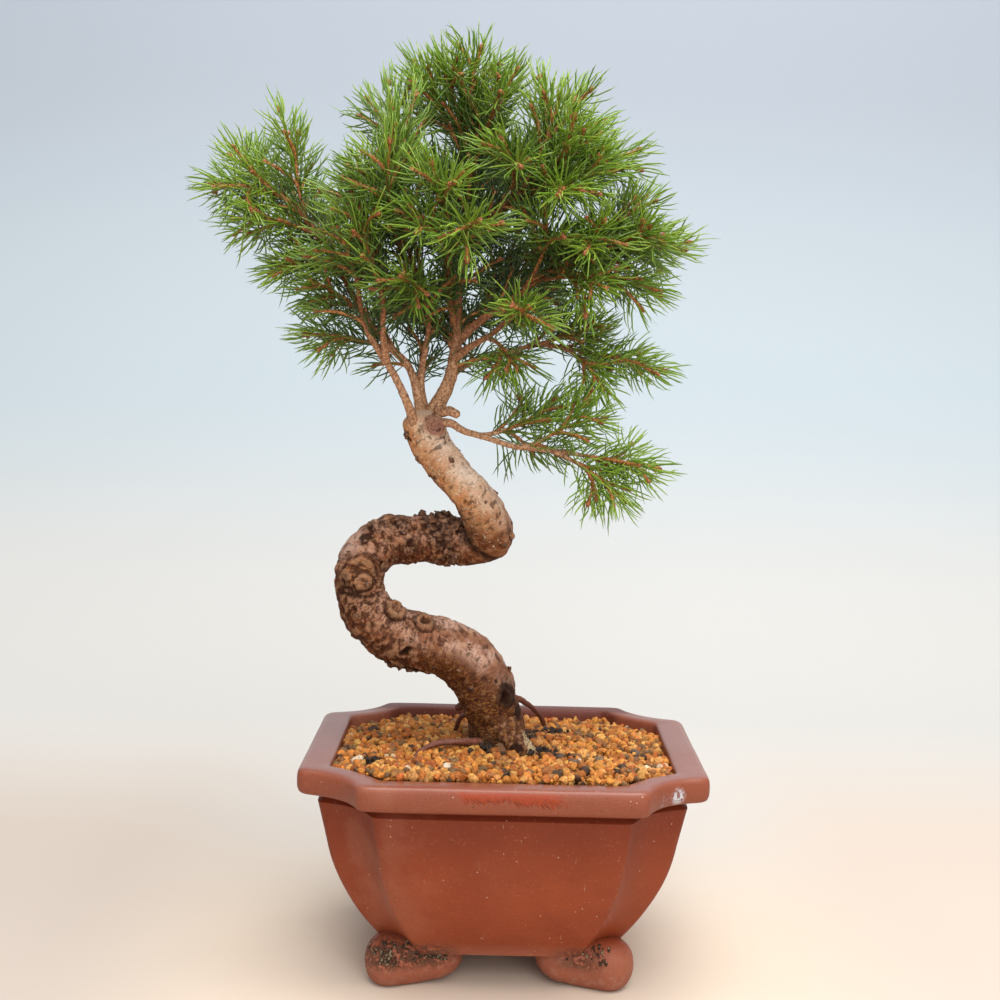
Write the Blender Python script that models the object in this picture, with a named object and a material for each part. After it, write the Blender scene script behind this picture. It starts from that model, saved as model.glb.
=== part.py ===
"""Spruce bonsai: an old coiled trunk with a needled crown, in a clay pot with scooped corners.

Sizes are in millimetres and become metres when a mesh is made. The pot's plan is centred on
x = y = 0 while the parts are made, the ground is z = 0, and the front faces -Y.
At the end everything is shifted so that the origin lies under the middle of the whole.
"""
import math
import random

import bmesh
import bpy
import numpy as np
from mathutils import Matrix, Vector, noise

MM = 0.001
CLEAR = 0.3                  # gap between pieces that touch on the real thing
WOOD_CLEAR = 0.45            # gap between the wood and the flat-sided holes it stands in
MERGE = 0.001                # points closer than this become one

# Pot
RIM_HALF_WIDTH = 77.0
RIM_HALF_DEPTH = 68.3
RIM_TOP = 86.4
RIM_FACE = 9.8               # height of the rim's upright face
RIM_WIDTH = 12.0             # level top of the rim at the short sides, from outer to inner edge
RIM_WIDTH_FRONT = 10.3       # the same at the front and back
RIM_EDGE = 2.1               # rounding of the rim's edges
LIP_EDGE = 1.3               # rounding of the edge round the opening
GROOVE_DEPTH = 9.2           # how far the groove under the rim lies in from the rim's face
GROOVE_SLOPE = 1.0
GROOVE_BOTTOM = 74.0
UNDERSIDE = 13.0             # height of the pot's underside
FLOOR = 19.0                 # height of the floor inside
# Height, half width and half depth of the body, from under the groove down.
BODY = (
    (73.2, 69.5, 60.8), (70.4, 69.1, 60.4), (60.0, 66.8, 59.2), (49.0, 64.4, 57.0),
    (38.5, 60.4, 53.6), (27.0, 54.2, 47.4), (15.4, 46.2, 39.4), (UNDERSIDE, 44.0, 37.2),
)
# The same for the inside, from the floor up to the rim.
INSIDE = (
    (FLOOR, 44.5, 38.2), (23.0, 48.6, 42.0), (34.0, 53.8, 47.2), (50.0, 58.8, 51.9),
    (72.0, 63.8, 56.8), (RIM_TOP - LIP_EDGE, RIM_HALF_WIDTH - RIM_WIDTH, RIM_HALF_DEPTH - RIM_WIDTH_FRONT),
)
NOTCH_SHARE = 0.32           # a corner is scooped out over this share of each half side
NOTCH_DEPTH = 0.19           # how far the scoop's curve stays off its square corner
CORNER_SOFT = 3.0            # rounding beside each scoop
HOLE_RADIUS = 6.5
HOLE_X = 21.0
HOLE_SIDES = 16
DRILL_PAST = 4.0             # how far a drill stands out on each side of the floor
CORNERS = ((1, 1), (-1, 1), (-1, -1), (1, -1))
# Lobes of the foot at the corner where x and y are positive: middle, radius and the two
# directions in degrees that the lobe's own round runs between.
FOOT_LOBES = ((42.0, 32.4, 9.7, -35, 125), (23.4, 28.4, 9.8, 50, 250), (36.4, 13.6, 9.8, 200, 400))
LOBE_POINTS = 5
# Height on the foot and the share of its lobes' radius there.
FOOT_LEVELS = ((0.0, 0.5), (1.6, 0.74), (4.6, 0.93), (9.2, 1.0), (14.0, 0.92), (18.3, 0.5))

# Drain mesh
PLATE_SIDE = 26.0
PLATE_THICKNESS = 0.9
PLATE_CELLS = 5              # odd: bars and openings take turns

# Soil
SOIL_LEVEL = 84.6
SOIL_FRONT_HEAP = 2.2        # the soil is heaped by this much from HEAP_START to the front
HEAP_START = 34.0
HEAP_SPREAD = 7.0
SOIL_MOUND = 1.2             # rise of the soil round the trunk
MOUND_SPREAD = 30.0
SOIL_EDGE_DROP = 1.2         # fall of the soil towards the pot's two short sides
SOIL_EDGE_START = 51.0
GRAVEL_CELL = 5.0
GRAVEL_RELIEF = 1.7
BLANK_RISE = 12.0            # how far the soil's blank stands above the rim before it is trimmed

# Wood
TRUNK_SIDES = 10
LIMB_SIDES = 6
ROOT_SIDES = 5
TWIG_SIDES = 4
TWIG_RADIUS = 1.1
TWIG_TIP_RADIUS = 0.9
# Length of wood between two rings of points.
TRUNK_SPACING = 8.0
LIMB_SPACING = 14.0
ROOT_SPACING = 6.0
STUB_SPACING = 5.0
TWIG_SPACING = 13.0
READ_SPACING = 3.0           # spacing of the points that a line is read from
GUARD_SPACING = 5.0          # the same where needles keep clear of a line
SPRAY_POINTS = 25
SIDE_SHOOT_POINTS = 19
LIMB_TAPER = 1.6             # over 1: a limb thins faster near its fork
# The trunk's relief: share of the radius, how fast it changes along the trunk and around it.
RIDGES = (0.10, 0.11, 1.6)
PLATES = (0.05, 0.30, 3.0)
# Lines of the sprays
SPRAY_SET = 0.8              # how strongly a spray sets off along its limb
SPRAY_REACH = 0.5            # share of a spray's span after which it turns to its tip
SIDE_SHOOT_SHARE = 0.22      # share of the leafy length where the side shoot forks off
SIDE_SHOOT_SET = 0.9
SIDE_SHOOT_REACH = 0.4

# Needles
CORE_RADIUS = 0.8
CORE_TIP_RADIUS = 0.55
CORE_SIDES = 3
CORE_SPACING = 1.5
NEEDLE_LENGTH = 13.0
NEEDLE_BASE = 1.4            # length of core that carries one needle
NEEDLE_ROOT = 0.75           # half a needle's thickness where it leaves the core
NEEDLE_POINT = 0.05
NEEDLE_STEP = 4.7            # bare core between two rings of needles
NEEDLE_TWIST = math.radians(37)
NEEDLE_LEAN = math.radians(58)
NEEDLE_LEAN_AT_TIP = math.radians(26)
LEAN_CHANGE = 0.55           # share of the shoot after which the needles lean in
LEAN_SPREAD = 0.07
SWING_SPREAD = 0.3
LENGTH_SPREAD = (0.88, 1.1)
TIP_SHORTENING = 0.08
TRY_SHORTENING = 0.05
NEEDLE_TRIES = 9
NEEDLE_CLEARANCE = 0.4
LEAFY_LONGEST = 40.0
LEAFY_SHARE = 0.66
BUD_LENGTH = 2.4
SEED = 11

# The trunk's middle line and radius, from below the soil to the fork.
TRUNK = (
    (1, 2, 68, 12), (-1, 3, 76, 13), (-2, 3, 87, 11.5), (-4, 2, 97, 10.8), (-7, 0, 107, 11.3),
    (-13, -1, 117, 12), (-22, -3, 124, 11.6), (-33, -5, 127, 11.2), (-44, -7, 130, 11.2),
    (-53, -8, 137, 10.2), (-58, -8, 148, 9.4), (-56, -6, 160, 9.8), (-47, -2, 167, 9.9),
    (-36, 2, 167.5, 9.3), (-25, 6, 166.5, 9.9), (-14, 7, 166, 9.6), (-7, 3, 168.5, 9.4),
    (-11, -5, 181, 8.4), (-20, -6, 192, 7.4), (-31, -3, 205, 8.0), (-34, -1, 212, 8.2),
    (-34, 1, 219, 6.2),
)
# Lumps on the trunk: knots, the swells at the bend and at the fork, and the toe at the soil.
KNOTS = (
    (-42, -5, 141, 4.6, 5.2, 3.4), (-30, -5, 137, 4.4, 4.8, 3.2), (-60, -13, 153, 5.0, 4.0, 6.0),
    (-26, 4, 175, 6.0, 5.0, 2.6), (4, -9, 84, 7.0, 5.5, 6.0), (-37, -9, 121, 5.4, 4.0, 4.0),
    (-34, -1, 216, 8.6, 7.6, 6.6),
)
# Roots that show on the soil, each a middle line with radii.
ROOTS = (
    ((-7, -5, 87, 2.0), (-13, -9, 88.6, 1.5), (-19, -12.4, 89.4, 1.3), (-25.6, -13.7, 88.9, 1.2),
     (-30.7, -15.8, 87.2, 1.1), (-35, -18.4, 83.6, 1.0)),
    ((3, 4, 104, 1.3), (6, 7, 102.6, 1.2), (9, 13, 99.5, 1.1), (12.5, 22, 95, 1.0), (16, 33, 88.5, 1.0),
     (18, 40, 82.5, 1.0)),
    ((-10, 4, 103, 1.6), (-15, 7, 101, 1.5), (-19.5, 9, 97.2, 1.4)),
    ((-11, 5, 98, 1.1), (-15, 9, 95.5, 1.0), (-18, 17, 91.5, 1.0), (-20.5, 26, 83, 0.9)),
)
# Limbs: middle line, then the radius at the fork and at the end.
LIMBS = {
    "left_front": (((-36, -3, 209), (-40, -11, 221), (-44, -14, 230), (-48, -16, 237)), 2.5, 1.8),
    "left_front_outer": (((-48, -16, 237), (-52, -17, 243), (-56, -18, 250), (-58, -19, 258),
                          (-59, -20, 266)), 1.6, 1.1),
    "left_front_inner": (((-48, -16, 237), (-49, -22, 247), (-49, -27, 260), (-52, -31, 272)), 1.6, 1.1),
    "left_long": (((-35, 2, 216), (-40, 2, 234), (-49, 0, 244), (-56, 0, 252), (-62, 0, 261),
                   (-67, -2, 271), (-73, -4, 282), (-80, -6, 290), (-86, -8, 297)), 2.3, 1.2),
    "centre_left": (((-34, 3, 215), (-36, 4, 228), (-35, 3, 239), (-33, 0, 250), (-34, -5, 261),
                     (-38, -12, 272), (-43, -18, 279)), 2.4, 1.1),
    "leader": (((-33, 0, 212), (-29, 2, 221), (-25, 2, 229), (-23, 2, 238), (-22, 3, 248), (-22, 6, 262),
                (-21, 9, 274), (-19, 12, 288), (-19, 12, 304), (-20, 11, 317), (-22, 9, 329)), 4.3, 1.2),
    "front_stem": (((-23, 4, 252), (-25, -6, 263), (-25, -14, 272), (-24, -22, 281)), 1.6, 1.1),
    "right_front": (((-23, 2, 239), (-16, -8, 244), (-9, -16, 248), (-4, -24, 252)), 2.1, 1.2),
    "right_main": (((-22, 4, 246), (-13, 4, 254), (-3, 2, 261), (8, -2, 269), (18, -6, 275),
                    (29, -9, 282)), 2.2, 1.2),
    "right_upper": (((-19, 12, 285), (-12, 4, 292), (-4, -6, 298), (2, -12, 303)), 1.8, 1.2),
    "right_back": (((-23, 4, 234), (-14, 13, 239), (-3, 17, 242), (9, 17, 245), (19, 14, 245)), 1.8, 1.1),
    "lowest": (((-31, -1, 213), (-24, -5, 214), (-18, -7, 211), (-10, -8, 209), (0, -10, 206),
                (9, -11, 205), (20, -12, 204)), 2.1, 1.2),
    "back_right": (((-22, 5, 250), (-13, 20, 260), (-3, 32, 268), (7, 42, 276)), 1.9, 1.1),
    "back_left": (((-23, 3, 244), (-33, 20, 256), (-43, 32, 264), (-51, 40, 272)), 1.9, 1.1),
    "back_high": (((-19, 12, 290), (-18, 24, 304), (-15, 36, 314)), 1.6, 1.1),
}
# The sawn stub beside the lowest limb.
STUB = ((-29, -1, 218, 2.4), (-24, -5, 218.5, 1.9), (-20, -7, 217, 1.5))
# Sprays: the limb that carries each, how far along it, and where its shoots end.
SPRAYS = {
    "left_far": ("left_long", 1.0, ((-116, -10, 303), (-99, -20, 293))),
    "left_far_upper": ("left_long", 0.95, ((-112, 6, 316), (-100, 15, 320))),
    "left_high": ("left_long", 0.90, ((-84, -6, 323), (-93, 6, 334))),
    "left_under": ("left_long", 0.82, ((-106, -14, 290), (-101, 4, 285))),
    "left_low_out": ("left_long", 0.66, ((-94, -2, 271), (-86, -17, 275))),
    "left_low_in": ("left_long", 0.48, ((-77, -15, 267), (-81, 5, 259))),
    "left_back": ("left_long", 0.74, ((-85, 24, 303), (-83, 30, 288))),
    "left_bottom": ("left_long", 0.28, ((-80, -6, 247), (-71, 8, 240))),
    "left_front_tip": ("left_front_outer", 1.0, ((-65, -34, 285), (-69, -24, 275))),
    "left_mid": ("left_front_inner", 0.7, ((-61, -10, 314), (-67, -12, 298))),
    "left_mid_face": ("left_front_inner", 0.9, ((-61, -30, 300), (-50, -44, 290))),
    "left_crown_top": ("centre_left", 0.66, ((-51, 6, 345), (-60, 18, 341))),
    "left_crown_face": ("centre_left", 1.0, ((-46, -43, 316), (-58, -36, 301))),
    "left_crown_mid": ("centre_left", 0.86, ((-47, -24, 331), (-39, -12, 338))),
    "centre_left_low": ("centre_left", 0.55, ((-41, -46, 268), (-35, -40, 258))),
    "front_stem_left": ("front_stem", 0.8, ((-38, -44, 293), (-35, -56, 283))),
    "front_stem_tip": ("front_stem", 1.0, ((-31, -48, 308), (-22, -60, 300))),
    "front_stem_face": ("front_stem", 0.9, ((-13, -58, 287), (-17, -56, 274))),
    "leader_tip": ("leader", 1.0, ((-31, 4, 354), (-22, -10, 346))),
    "leader_top": ("leader", 0.94, ((-15, 2, 358), (-8, 18, 352))),
    "leader_left": ("leader", 0.85, ((-41, 12, 354), (-41, -2, 344))),
    "leader_right": ("leader", 0.80, ((-1, -4, 349), (-7, -20, 338))),
    "upper_front": ("right_upper", 0.8, ((-6, -40, 318), (1, -52, 307))),
    "upper_right_tip": ("right_upper", 1.0, ((15, -22, 337), (8, -8, 346))),
    "upper_right_mid": ("right_upper", 0.93, ((29, -28, 322), (20, -38, 327))),
    "upper_right_low": ("right_upper", 0.86, ((23, -44, 300), (15, -54, 297))),
    "upper_right_far": ("right_upper", 0.60, ((24, 4, 344), (34, 10, 333))),
    "right_shoulder": ("right_upper", 0.45, ((47, 0, 321), (39, -14, 312))),
    "right_centre_face": ("right_main", 0.50, ((10, -42, 294), (17, -46, 283))),
    "right_centre_up": ("right_upper", 0.75, ((36, -24, 310), (30, -34, 300))),
    "right_mid_up": ("right_main", 0.90, ((50, 2, 303), (37, 12, 300))),
    "right_mid_face": ("right_main", 0.78, ((32, -38, 290), (25, -46, 278))),
    "right_tip": ("right_main", 1.0, ((56, -14, 287), (47, -28, 291))),
    "right_far": ("right_main", 0.84, ((67, 10, 284), (59, 22, 276))),
    "right_low_far": ("right_main", 0.70, ((57, 4, 266), (49, -8, 260))),
    "right_low_face": ("right_main", 0.62, ((33, -34, 266), (26, -38, 256))),
    "right_low_in": ("right_front", 1.0, ((5, -50, 258), (13, -42, 251))),
    "right_front_low": ("right_front", 0.65, ((1, -28, 236), (-9, -26, 233))),
    "right_under": ("right_back", 0.72, ((34, 6, 253), (27, 22, 259))),
    "low_right_yellow": ("right_back", 1.0, ((35, -4, 229), (43, 6, 240))),
    "low_right_far": ("right_back", 0.9, ((61, 14, 236), (51, 24, 243))),
    "lowest_tip": ("lowest", 1.0, ((56, -16, 199), (47, -4, 207))),
    "lowest_under": ("lowest", 0.93, ((43, -22, 187), (30, -24, 186))),
    "lowest_upper": ("lowest", 0.72, ((29, -12, 224), (36, -4, 217))),
    "lowest_inner": ("lowest", 0.40, ((17, 2, 224), (3, 4, 224))),
    "back_right_tip": ("back_right", 1.0, ((23, 58, 290), (31, 44, 280))),
    "back_right_low": ("back_right", 0.7, ((5, 58, 261), (21, 50, 256))),
    "back_left_tip": ("back_left", 1.0, ((-65, 54, 287), (-73, 42, 278))),
    "back_left_low": ("back_left", 0.7, ((-47, 56, 260), (-63, 42, 256))),
    "back_centre": ("back_right", 0.45, ((2, 38, 296), (14, 46, 285))),
    "back_high_tip": ("back_high", 1.0, ((-13, 46, 338), (-29, 42, 335))),
    "back_high_mid": ("back_high", 0.7, ((-27, 60, 312), (-7, 58, 316))),
    "back_high_right": ("back_high", 0.45, ((13, 36, 328), (23, 28, 316))),
    "back_high_left": ("back_high", 0.60, ((-47, 36, 322), (-53, 40, 308))),
}

CLAY = ("fired_clay", (0.33, 0.11, 0.07), 0.6)
GRAVEL = ("gravel", (0.55, 0.32, 0.12), 0.9)
BARK = ("bark", (0.25, 0.14, 0.08), 0.85)
NEEDLES = ("needles", (0.10, 0.24, 0.06), 0.55)
PLASTIC_MESH = ("mesh_plastic", (0.03, 0.03, 0.03), 0.5)


def clear_scene():
    for thing in list(bpy.data.objects):
        bpy.data.objects.remove(thing)


def finish_of(look):
    """One Principled material for each finish, made once."""
    name, colour, roughness = look
    material = bpy.data.materials.get(name)
    if material is None:
        material = bpy.data.materials.new(name)
        material.use_nodes = True
        shader = material.node_tree.nodes["Principled BSDF"]
        shader.inputs["Base Color"].default_value = (*colour, 1)
        shader.inputs["Roughness"].default_value = roughness
        shader.inputs["Metallic"].default_value = 0
    return material


def solid(name, points, faces, look):
    """A named object from points in millimetres."""
    mesh = bpy.data.meshes.new(name)
    mesh.from_pydata([tuple(float(v) * MM for v in point) for point in points], [], faces)
    mesh.materials.append(finish_of(look))
    thing = bpy.data.objects.new(name, mesh)
    bpy.context.collection.objects.link(thing)
    return thing


def settle(thing, modifier):
    """Apply the modifier by taking the evaluated mesh."""
    bpy.context.view_layer.update()
    graph = bpy.context.evaluated_depsgraph_get()
    mesh = bpy.data.meshes.new_from_object(thing.evaluated_get(graph))
    thing.modifiers.remove(modifier)
    mesh.name = thing.name
    thing.data = mesh


def join(base, others, solver="EXACT"):
    """Fuse others into base with one Boolean union on their collection."""
    group = bpy.data.collections.new(base.name + "_joined")
    for other in others:
        group.objects.link(other)
    union = base.modifiers.new("join", "BOOLEAN")
    union.operation = "UNION"
    union.operand_type = "COLLECTION"
    union.collection = group
    union.solver = solver
    settle(base, union)
    for other in others:
        bpy.data.objects.remove(other)
    bpy.data.collections.remove(group)


def cut(base, cutter, operation="DIFFERENCE"):
    """Cut base with one solid, or keep what both share."""
    step = base.modifiers.new("cut", "BOOLEAN")
    step.operation = operation
    step.object = cutter
    step.solver = "EXACT"
    settle(base, step)
    bpy.data.objects.remove(cutter)


def split_faces(thing):
    """Cut every face into triangles, so that a Boolean and the files agree on bent ones."""
    work = bmesh.new()
    work.from_mesh(thing.data)
    bmesh.ops.triangulate(work, faces=work.faces)
    work.to_mesh(thing.data)
    work.free()


def drop_scraps(thing):
    """Merge doubled points, then keep only the largest of the mesh's separate bodies."""
    work = bmesh.new()
    work.from_mesh(thing.data)
    bmesh.ops.remove_doubles(work, verts=work.verts, dist=MERGE * MM)
    bmesh.ops.dissolve_degenerate(work, edges=work.edges, dist=MERGE * MM)
    bmesh.ops.triangulate(work, faces=work.faces)
    seen = set()
    bodies = []
    for start in work.faces:
        if start in seen:
            continue
        body = [start]
        seen.add(start)
        for face in body:
            for edge in face.edges:
                for other in edge.link_faces:
                    if other not in seen:
                        seen.add(other)
                        body.append(other)
        bodies.append(body)
    bodies.sort(key=len)
    scraps = [face for body in bodies[:-1] for face in body]
    bmesh.ops.delete(work, geom=scraps, context="FACES")
    bmesh.ops.delete(work, geom=[edge for edge in work.edges if not edge.link_faces], context="EDGES")
    bmesh.ops.delete(work, geom=[point for point in work.verts if not point.link_faces], context="VERTS")
    bmesh.ops.recalc_face_normals(work, faces=work.faces)
    work.to_mesh(thing.data)
    work.free()


def round_off(thing, angle=40):
    thing.data.shade_smooth()
    thing.data.set_sharp_from_angle(angle=math.radians(angle))


def smooth_path(points, spacing):
    """Points read from a Catmull-Rom curve through hand-set ones, about one spacing apart."""
    given = np.array(points, float)
    padded = np.vstack([2 * given[0] - given[1], given, 2 * given[-1] - given[-2]])
    path = []
    for index in range(len(given) - 1):
        before, start, end, after = padded[index:index + 4]
        pieces = max(1, round(np.linalg.norm((end - start)[:3]) / spacing))
        for piece in range(pieces):
            t = piece / pieces
            square = 2 * before - 5 * start + 4 * end - after
            cube = 3 * start - before - 3 * end + after
            path.append(0.5 * (2 * start + (end - before) * t + square * t ** 2 + cube * t ** 3))
    path.append(given[-1])
    return np.array(path)


def limb_path(name, spacing=LIMB_SPACING):
    """A limb's middle line with its radius tapering from fork to end."""
    points, thick, thin = LIMBS[name]
    line = smooth_path(points, spacing)
    share = np.linspace(1, 0, len(line)) ** LIMB_TAPER
    return np.column_stack([line, thin + (thick - thin) * share])


def bend(start, control, end, count):
    """Points on a quadratic curve."""
    share = np.linspace(0, 1, count)[:, None]
    return (1 - share) ** 2 * start + 2 * share * (1 - share) * control + share ** 2 * end


def unit(vector):
    return vector / np.linalg.norm(vector)


def lengths_along(path):
    steps = np.linalg.norm(np.diff(path[:, :3], axis=0), axis=1)
    return np.concatenate([[0], np.cumsum(steps)])


def point_at(path, distance):
    """Position and direction at a distance along a path."""
    reach = lengths_along(path)
    place = np.array([np.interp(distance, reach, path[:, axis]) for axis in range(3)])
    index = int(np.clip(np.searchsorted(reach, distance) - 1, 0, len(path) - 2))
    return place, unit(path[index + 1, :3] - path[index, :3])


def side_vectors(path):
    """Two directions across the path at each point, carried along it without twist."""
    line = path[:, :3]
    along = np.gradient(line, axis=0)
    along /= np.linalg.norm(along, axis=1)[:, None]
    first = np.cross(along[0], (0.0, 0.3, 1.0))
    if np.linalg.norm(first) < 0.2:
        first = np.cross(along[0], (1.0, 0.0, 0.0))
    across = [unit(first)]
    for direction in along[1:]:
        across.append(unit(across[-1] - np.dot(across[-1], direction) * direction))
    across = np.array(across)
    return along, across, np.cross(along, across)


def skin(name, points, levels, look, mirrored=False):
    """A closed solid over rings of points, each as long as the others, with both ends filled."""
    around = len(points) // levels
    faces = [tuple(reversed(range(around)))]
    for level in range(levels - 1):
        low = level * around
        for side in range(around):
            after = (side + 1) % around
            faces.append((low + side, low + after, low + around + after, low + around + side))
    faces.append(tuple(range(len(points) - around, len(points))))
    if mirrored:
        faces = [face[::-1] for face in faces]
    return solid(name, points, faces, look)


def tube(name, path, sides, look, grow=0.0, relief=None):
    """A closed tube along a path of points with radii."""
    along, across, upward = side_vectors(path)
    line = path.copy()
    line[0, :3] -= along[0] * grow
    line[-1, :3] += along[-1] * grow
    points = []
    for index, (x, y, z, radius) in enumerate(line):
        for side in range(sides):
            angle = 2 * math.pi * side / sides
            out = math.cos(angle) * across[index] + math.sin(angle) * upward[index]
            reach = radius
            if relief is not None:
                reach *= 1 + relief((x, y, z), out)
            points.append(np.array((x, y, z)) + out * (reach + grow))
    return skin(name, points, len(line), look)


def lump(name, centre, radii, look, around=7, rings=5):
    """A closed ellipsoid."""
    mesh = bpy.data.meshes.new(name)
    work = bmesh.new()
    bmesh.ops.create_uvsphere(work, u_segments=around, v_segments=rings, radius=1)
    place = Matrix.Translation(Vector(centre) * MM) @ Matrix.Diagonal((*(radius * MM for radius in radii), 1))
    bmesh.ops.transform(work, matrix=place, verts=work.verts)
    work.to_mesh(mesh)
    work.free()
    mesh.materials.append(finish_of(look))
    thing = bpy.data.objects.new(name, mesh)
    bpy.context.collection.objects.link(thing)
    return thing


def plan_outline(half_x, half_y):
    """The pot's plan at one height: a rectangle with scooped corners, anticlockwise."""
    notch_x = NOTCH_SHARE * half_x
    notch_y = NOTCH_SHARE * half_y
    side_end = np.array((half_x, half_y - notch_y))
    front_end = np.array((half_x - notch_x, half_y))
    scoop = np.array((front_end[0] + NOTCH_DEPTH * notch_x, side_end[1] + NOTCH_DEPTH * notch_y))
    curve = bend(side_end, scoop, front_end, 7)
    side_start = side_end - (0, CORNER_SOFT)
    front_start = front_end - (CORNER_SOFT, 0)
    side_round = 0.25 * side_start + 0.5 * side_end + 0.25 * curve[1]
    front_round = 0.25 * front_start + 0.5 * front_end + 0.25 * curve[5]
    quarter = [side_start, side_round, curve[1], curve[3], curve[5], front_round, front_start]
    outline = []
    for flip_x, flip_y in CORNERS:
        corner = [(flip_x * x, flip_y * y) for x, y in quarter]
        outline += corner if flip_x * flip_y > 0 else corner[::-1]
    return outline


def loft(name, sections, look):
    """A closed solid through plan outlines given as (height, half width, half depth)."""
    points = []
    for height, half_x, half_y in sections:
        points += [(x, y, height) for x, y in plan_outline(half_x, half_y)]
    return skin(name, points, len(sections), look)


def make_foot(flip_x, flip_y):
    """A cloud foot: three soft lobes in a row round one corner, level underneath."""
    points = []
    for height, share in FOOT_LEVELS:
        for x, y, radius, first, last in FOOT_LOBES:
            for step in range(LOBE_POINTS):
                angle = math.radians(first + (last - first) * step / (LOBE_POINTS - 1))
                points.append((flip_x * (x + share * radius * math.cos(angle)),
                               flip_y * (y + share * radius * math.sin(angle)), height))
    return skin("foot", points, len(FOOT_LEVELS), CLAY, flip_x * flip_y < 0)


def make_pot():
    """Rim with a rounded upright face, a groove, a bellied body and four lobed feet, fired as one."""
    inner_x, inner_y = INSIDE[-1][1:]
    rim_bottom = RIM_TOP - RIM_FACE
    profile = (
        (RIM_TOP, RIM_EDGE), (RIM_TOP - RIM_EDGE, 0), (rim_bottom + RIM_EDGE, 0), (rim_bottom, RIM_EDGE / 2),
        (rim_bottom, GROOVE_DEPTH - GROOVE_SLOPE), (GROOVE_BOTTOM, GROOVE_DEPTH),
    )
    rim = [(height, RIM_HALF_WIDTH - inset, RIM_HALF_DEPTH - inset) for height, inset in profile]
    lip = (RIM_TOP, inner_x + LIP_EDGE, inner_y + LIP_EDGE)
    pot = loft("pot", (*INSIDE, lip, *rim, *BODY)[::-1], CLAY)
    join(pot, [make_foot(*flips) for flips in CORNERS])
    drill_ends = (UNDERSIDE - DRILL_PAST, FLOOR + DRILL_PAST)
    for side in (-1, 1):
        ends = [(side * HOLE_X, 0, height, HOLE_RADIUS) for height in drill_ends]
        cut(pot, tube("drain", np.array(ends), HOLE_SIDES, CLAY))
    drop_scraps(pot)
    round_off(pot)


def make_drain_mesh(name, x):
    """A square plastic mesh that keeps the soil in over a drain hole."""
    cell = PLATE_SIDE / PLATE_CELLS
    solid_cell = {}
    for column in range(PLATE_CELLS):
        for row in range(PLATE_CELLS):
            solid_cell[column, row] = not (column % 2 and row % 2)
    points = []
    for level in (0, PLATE_THICKNESS):
        for row in range(PLATE_CELLS + 1):
            for column in range(PLATE_CELLS + 1):
                points.append((column * cell - PLATE_SIDE / 2, row * cell - PLATE_SIDE / 2, level))
    across = PLATE_CELLS + 1
    top = across * across
    faces = []
    for (column, row), filled in solid_cell.items():
        if not filled:
            continue
        ring = (row * across + column, row * across + column + 1, (row + 1) * across + column + 1,
                (row + 1) * across + column)
        faces.append(tuple(reversed(ring)))
        faces.append(tuple(top + corner for corner in ring))
        beside = ((column, row - 1), (column + 1, row), (column, row + 1), (column - 1, row))
        for edge, neighbour in enumerate(beside):
            if not solid_cell.get(neighbour, False):
                start, end = ring[edge], ring[(edge + 1) % 4]
                faces.append((start, end, top + end, top + start))
    plate = solid(name, points, faces, PLASTIC_MESH)
    plate.location = (x * MM, 0, (FLOOR + CLEAR) * MM)
    return plate


def bark_relief(place, out):
    """Share of the radius that the bark swells or sinks by at a point of the trunk."""
    return sum(share * noise.noise(Vector(place) * along + Vector(out) * around)
               for share, along, around in (RIDGES, PLATES))


def trunk_and_roots(grow=0.0):
    """The trunk, its knots and the roots that show, as separate closed solids."""
    parts = [tube("trunk", smooth_path(TRUNK, TRUNK_SPACING), TRUNK_SIDES, BARK, grow, bark_relief)]
    for x, y, z, wide, deep, tall in KNOTS:
        parts.append(lump("knot", (x, y, z), (wide + grow, deep + grow, tall + grow), BARK))
    for root in ROOTS:
        parts.append(tube("root", smooth_path(root, ROOT_SPACING), ROOT_SIDES, BARK, grow))
    return parts


def spray_path(name):
    """A spray's main line from its limb to its tip: it leaves along the limb and turns outward."""
    limb, share, tips = SPRAYS[name]
    carrier = limb_path(limb, READ_SPACING)
    start, along = point_at(carrier, share * lengths_along(carrier)[-1])
    tip = np.array(tips[0], float)
    reach = np.linalg.norm(tip - start)
    control = start + SPRAY_REACH * reach * unit(SPRAY_SET * along + unit(tip - start))
    return bend(start, control, tip, SPRAY_POINTS)


def leafy_length(path):
    return min(LEAFY_LONGEST, LEAFY_SHARE * lengths_along(path)[-1])


def cut_path(path, begin, end, spacing):
    """The stretch of a path between two distances, in even steps."""
    count = max(2, round((end - begin) / spacing) + 1)
    return np.array([point_at(path, distance)[0] for distance in np.linspace(begin, end, count)])


def side_path(path, tip, leafy):
    """A side shoot's line from inside the leafy core to its own tip."""
    total = lengths_along(path)[-1]
    start, along = point_at(path, total - leafy + SIDE_SHOOT_SHARE * leafy)
    tip = np.array(tip, float)
    reach = np.linalg.norm(tip - start)
    control = start + SIDE_SHOOT_REACH * reach * unit(along + SIDE_SHOOT_SET * unit(tip - start))
    return bend(start, control, tip, SIDE_SHOOT_POINTS)


def make_wood():
    """Trunk, limbs, twigs, knots and roots, which grew as one."""
    trunk, *others = trunk_and_roots()
    for name in LIMBS:
        others.append(tube("limb", limb_path(name), LIMB_SIDES, BARK))
    others.append(tube("stub", smooth_path(STUB, STUB_SPACING), TWIG_SIDES, BARK))
    for name in SPRAYS:
        path = spray_path(name)
        woody = lengths_along(path)[-1] - leafy_length(path) - CLEAR
        line = cut_path(path, 0, woody, TWIG_SPACING)
        radii = np.linspace(TWIG_RADIUS, TWIG_TIP_RADIUS, len(line))
        others.append(tube("twig", np.column_stack([line, radii]), TWIG_SIDES, BARK))
    trunk.name = "tree_wood"
    join(trunk, others)
    drop_scraps(trunk)
    round_off(trunk, 60)


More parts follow.
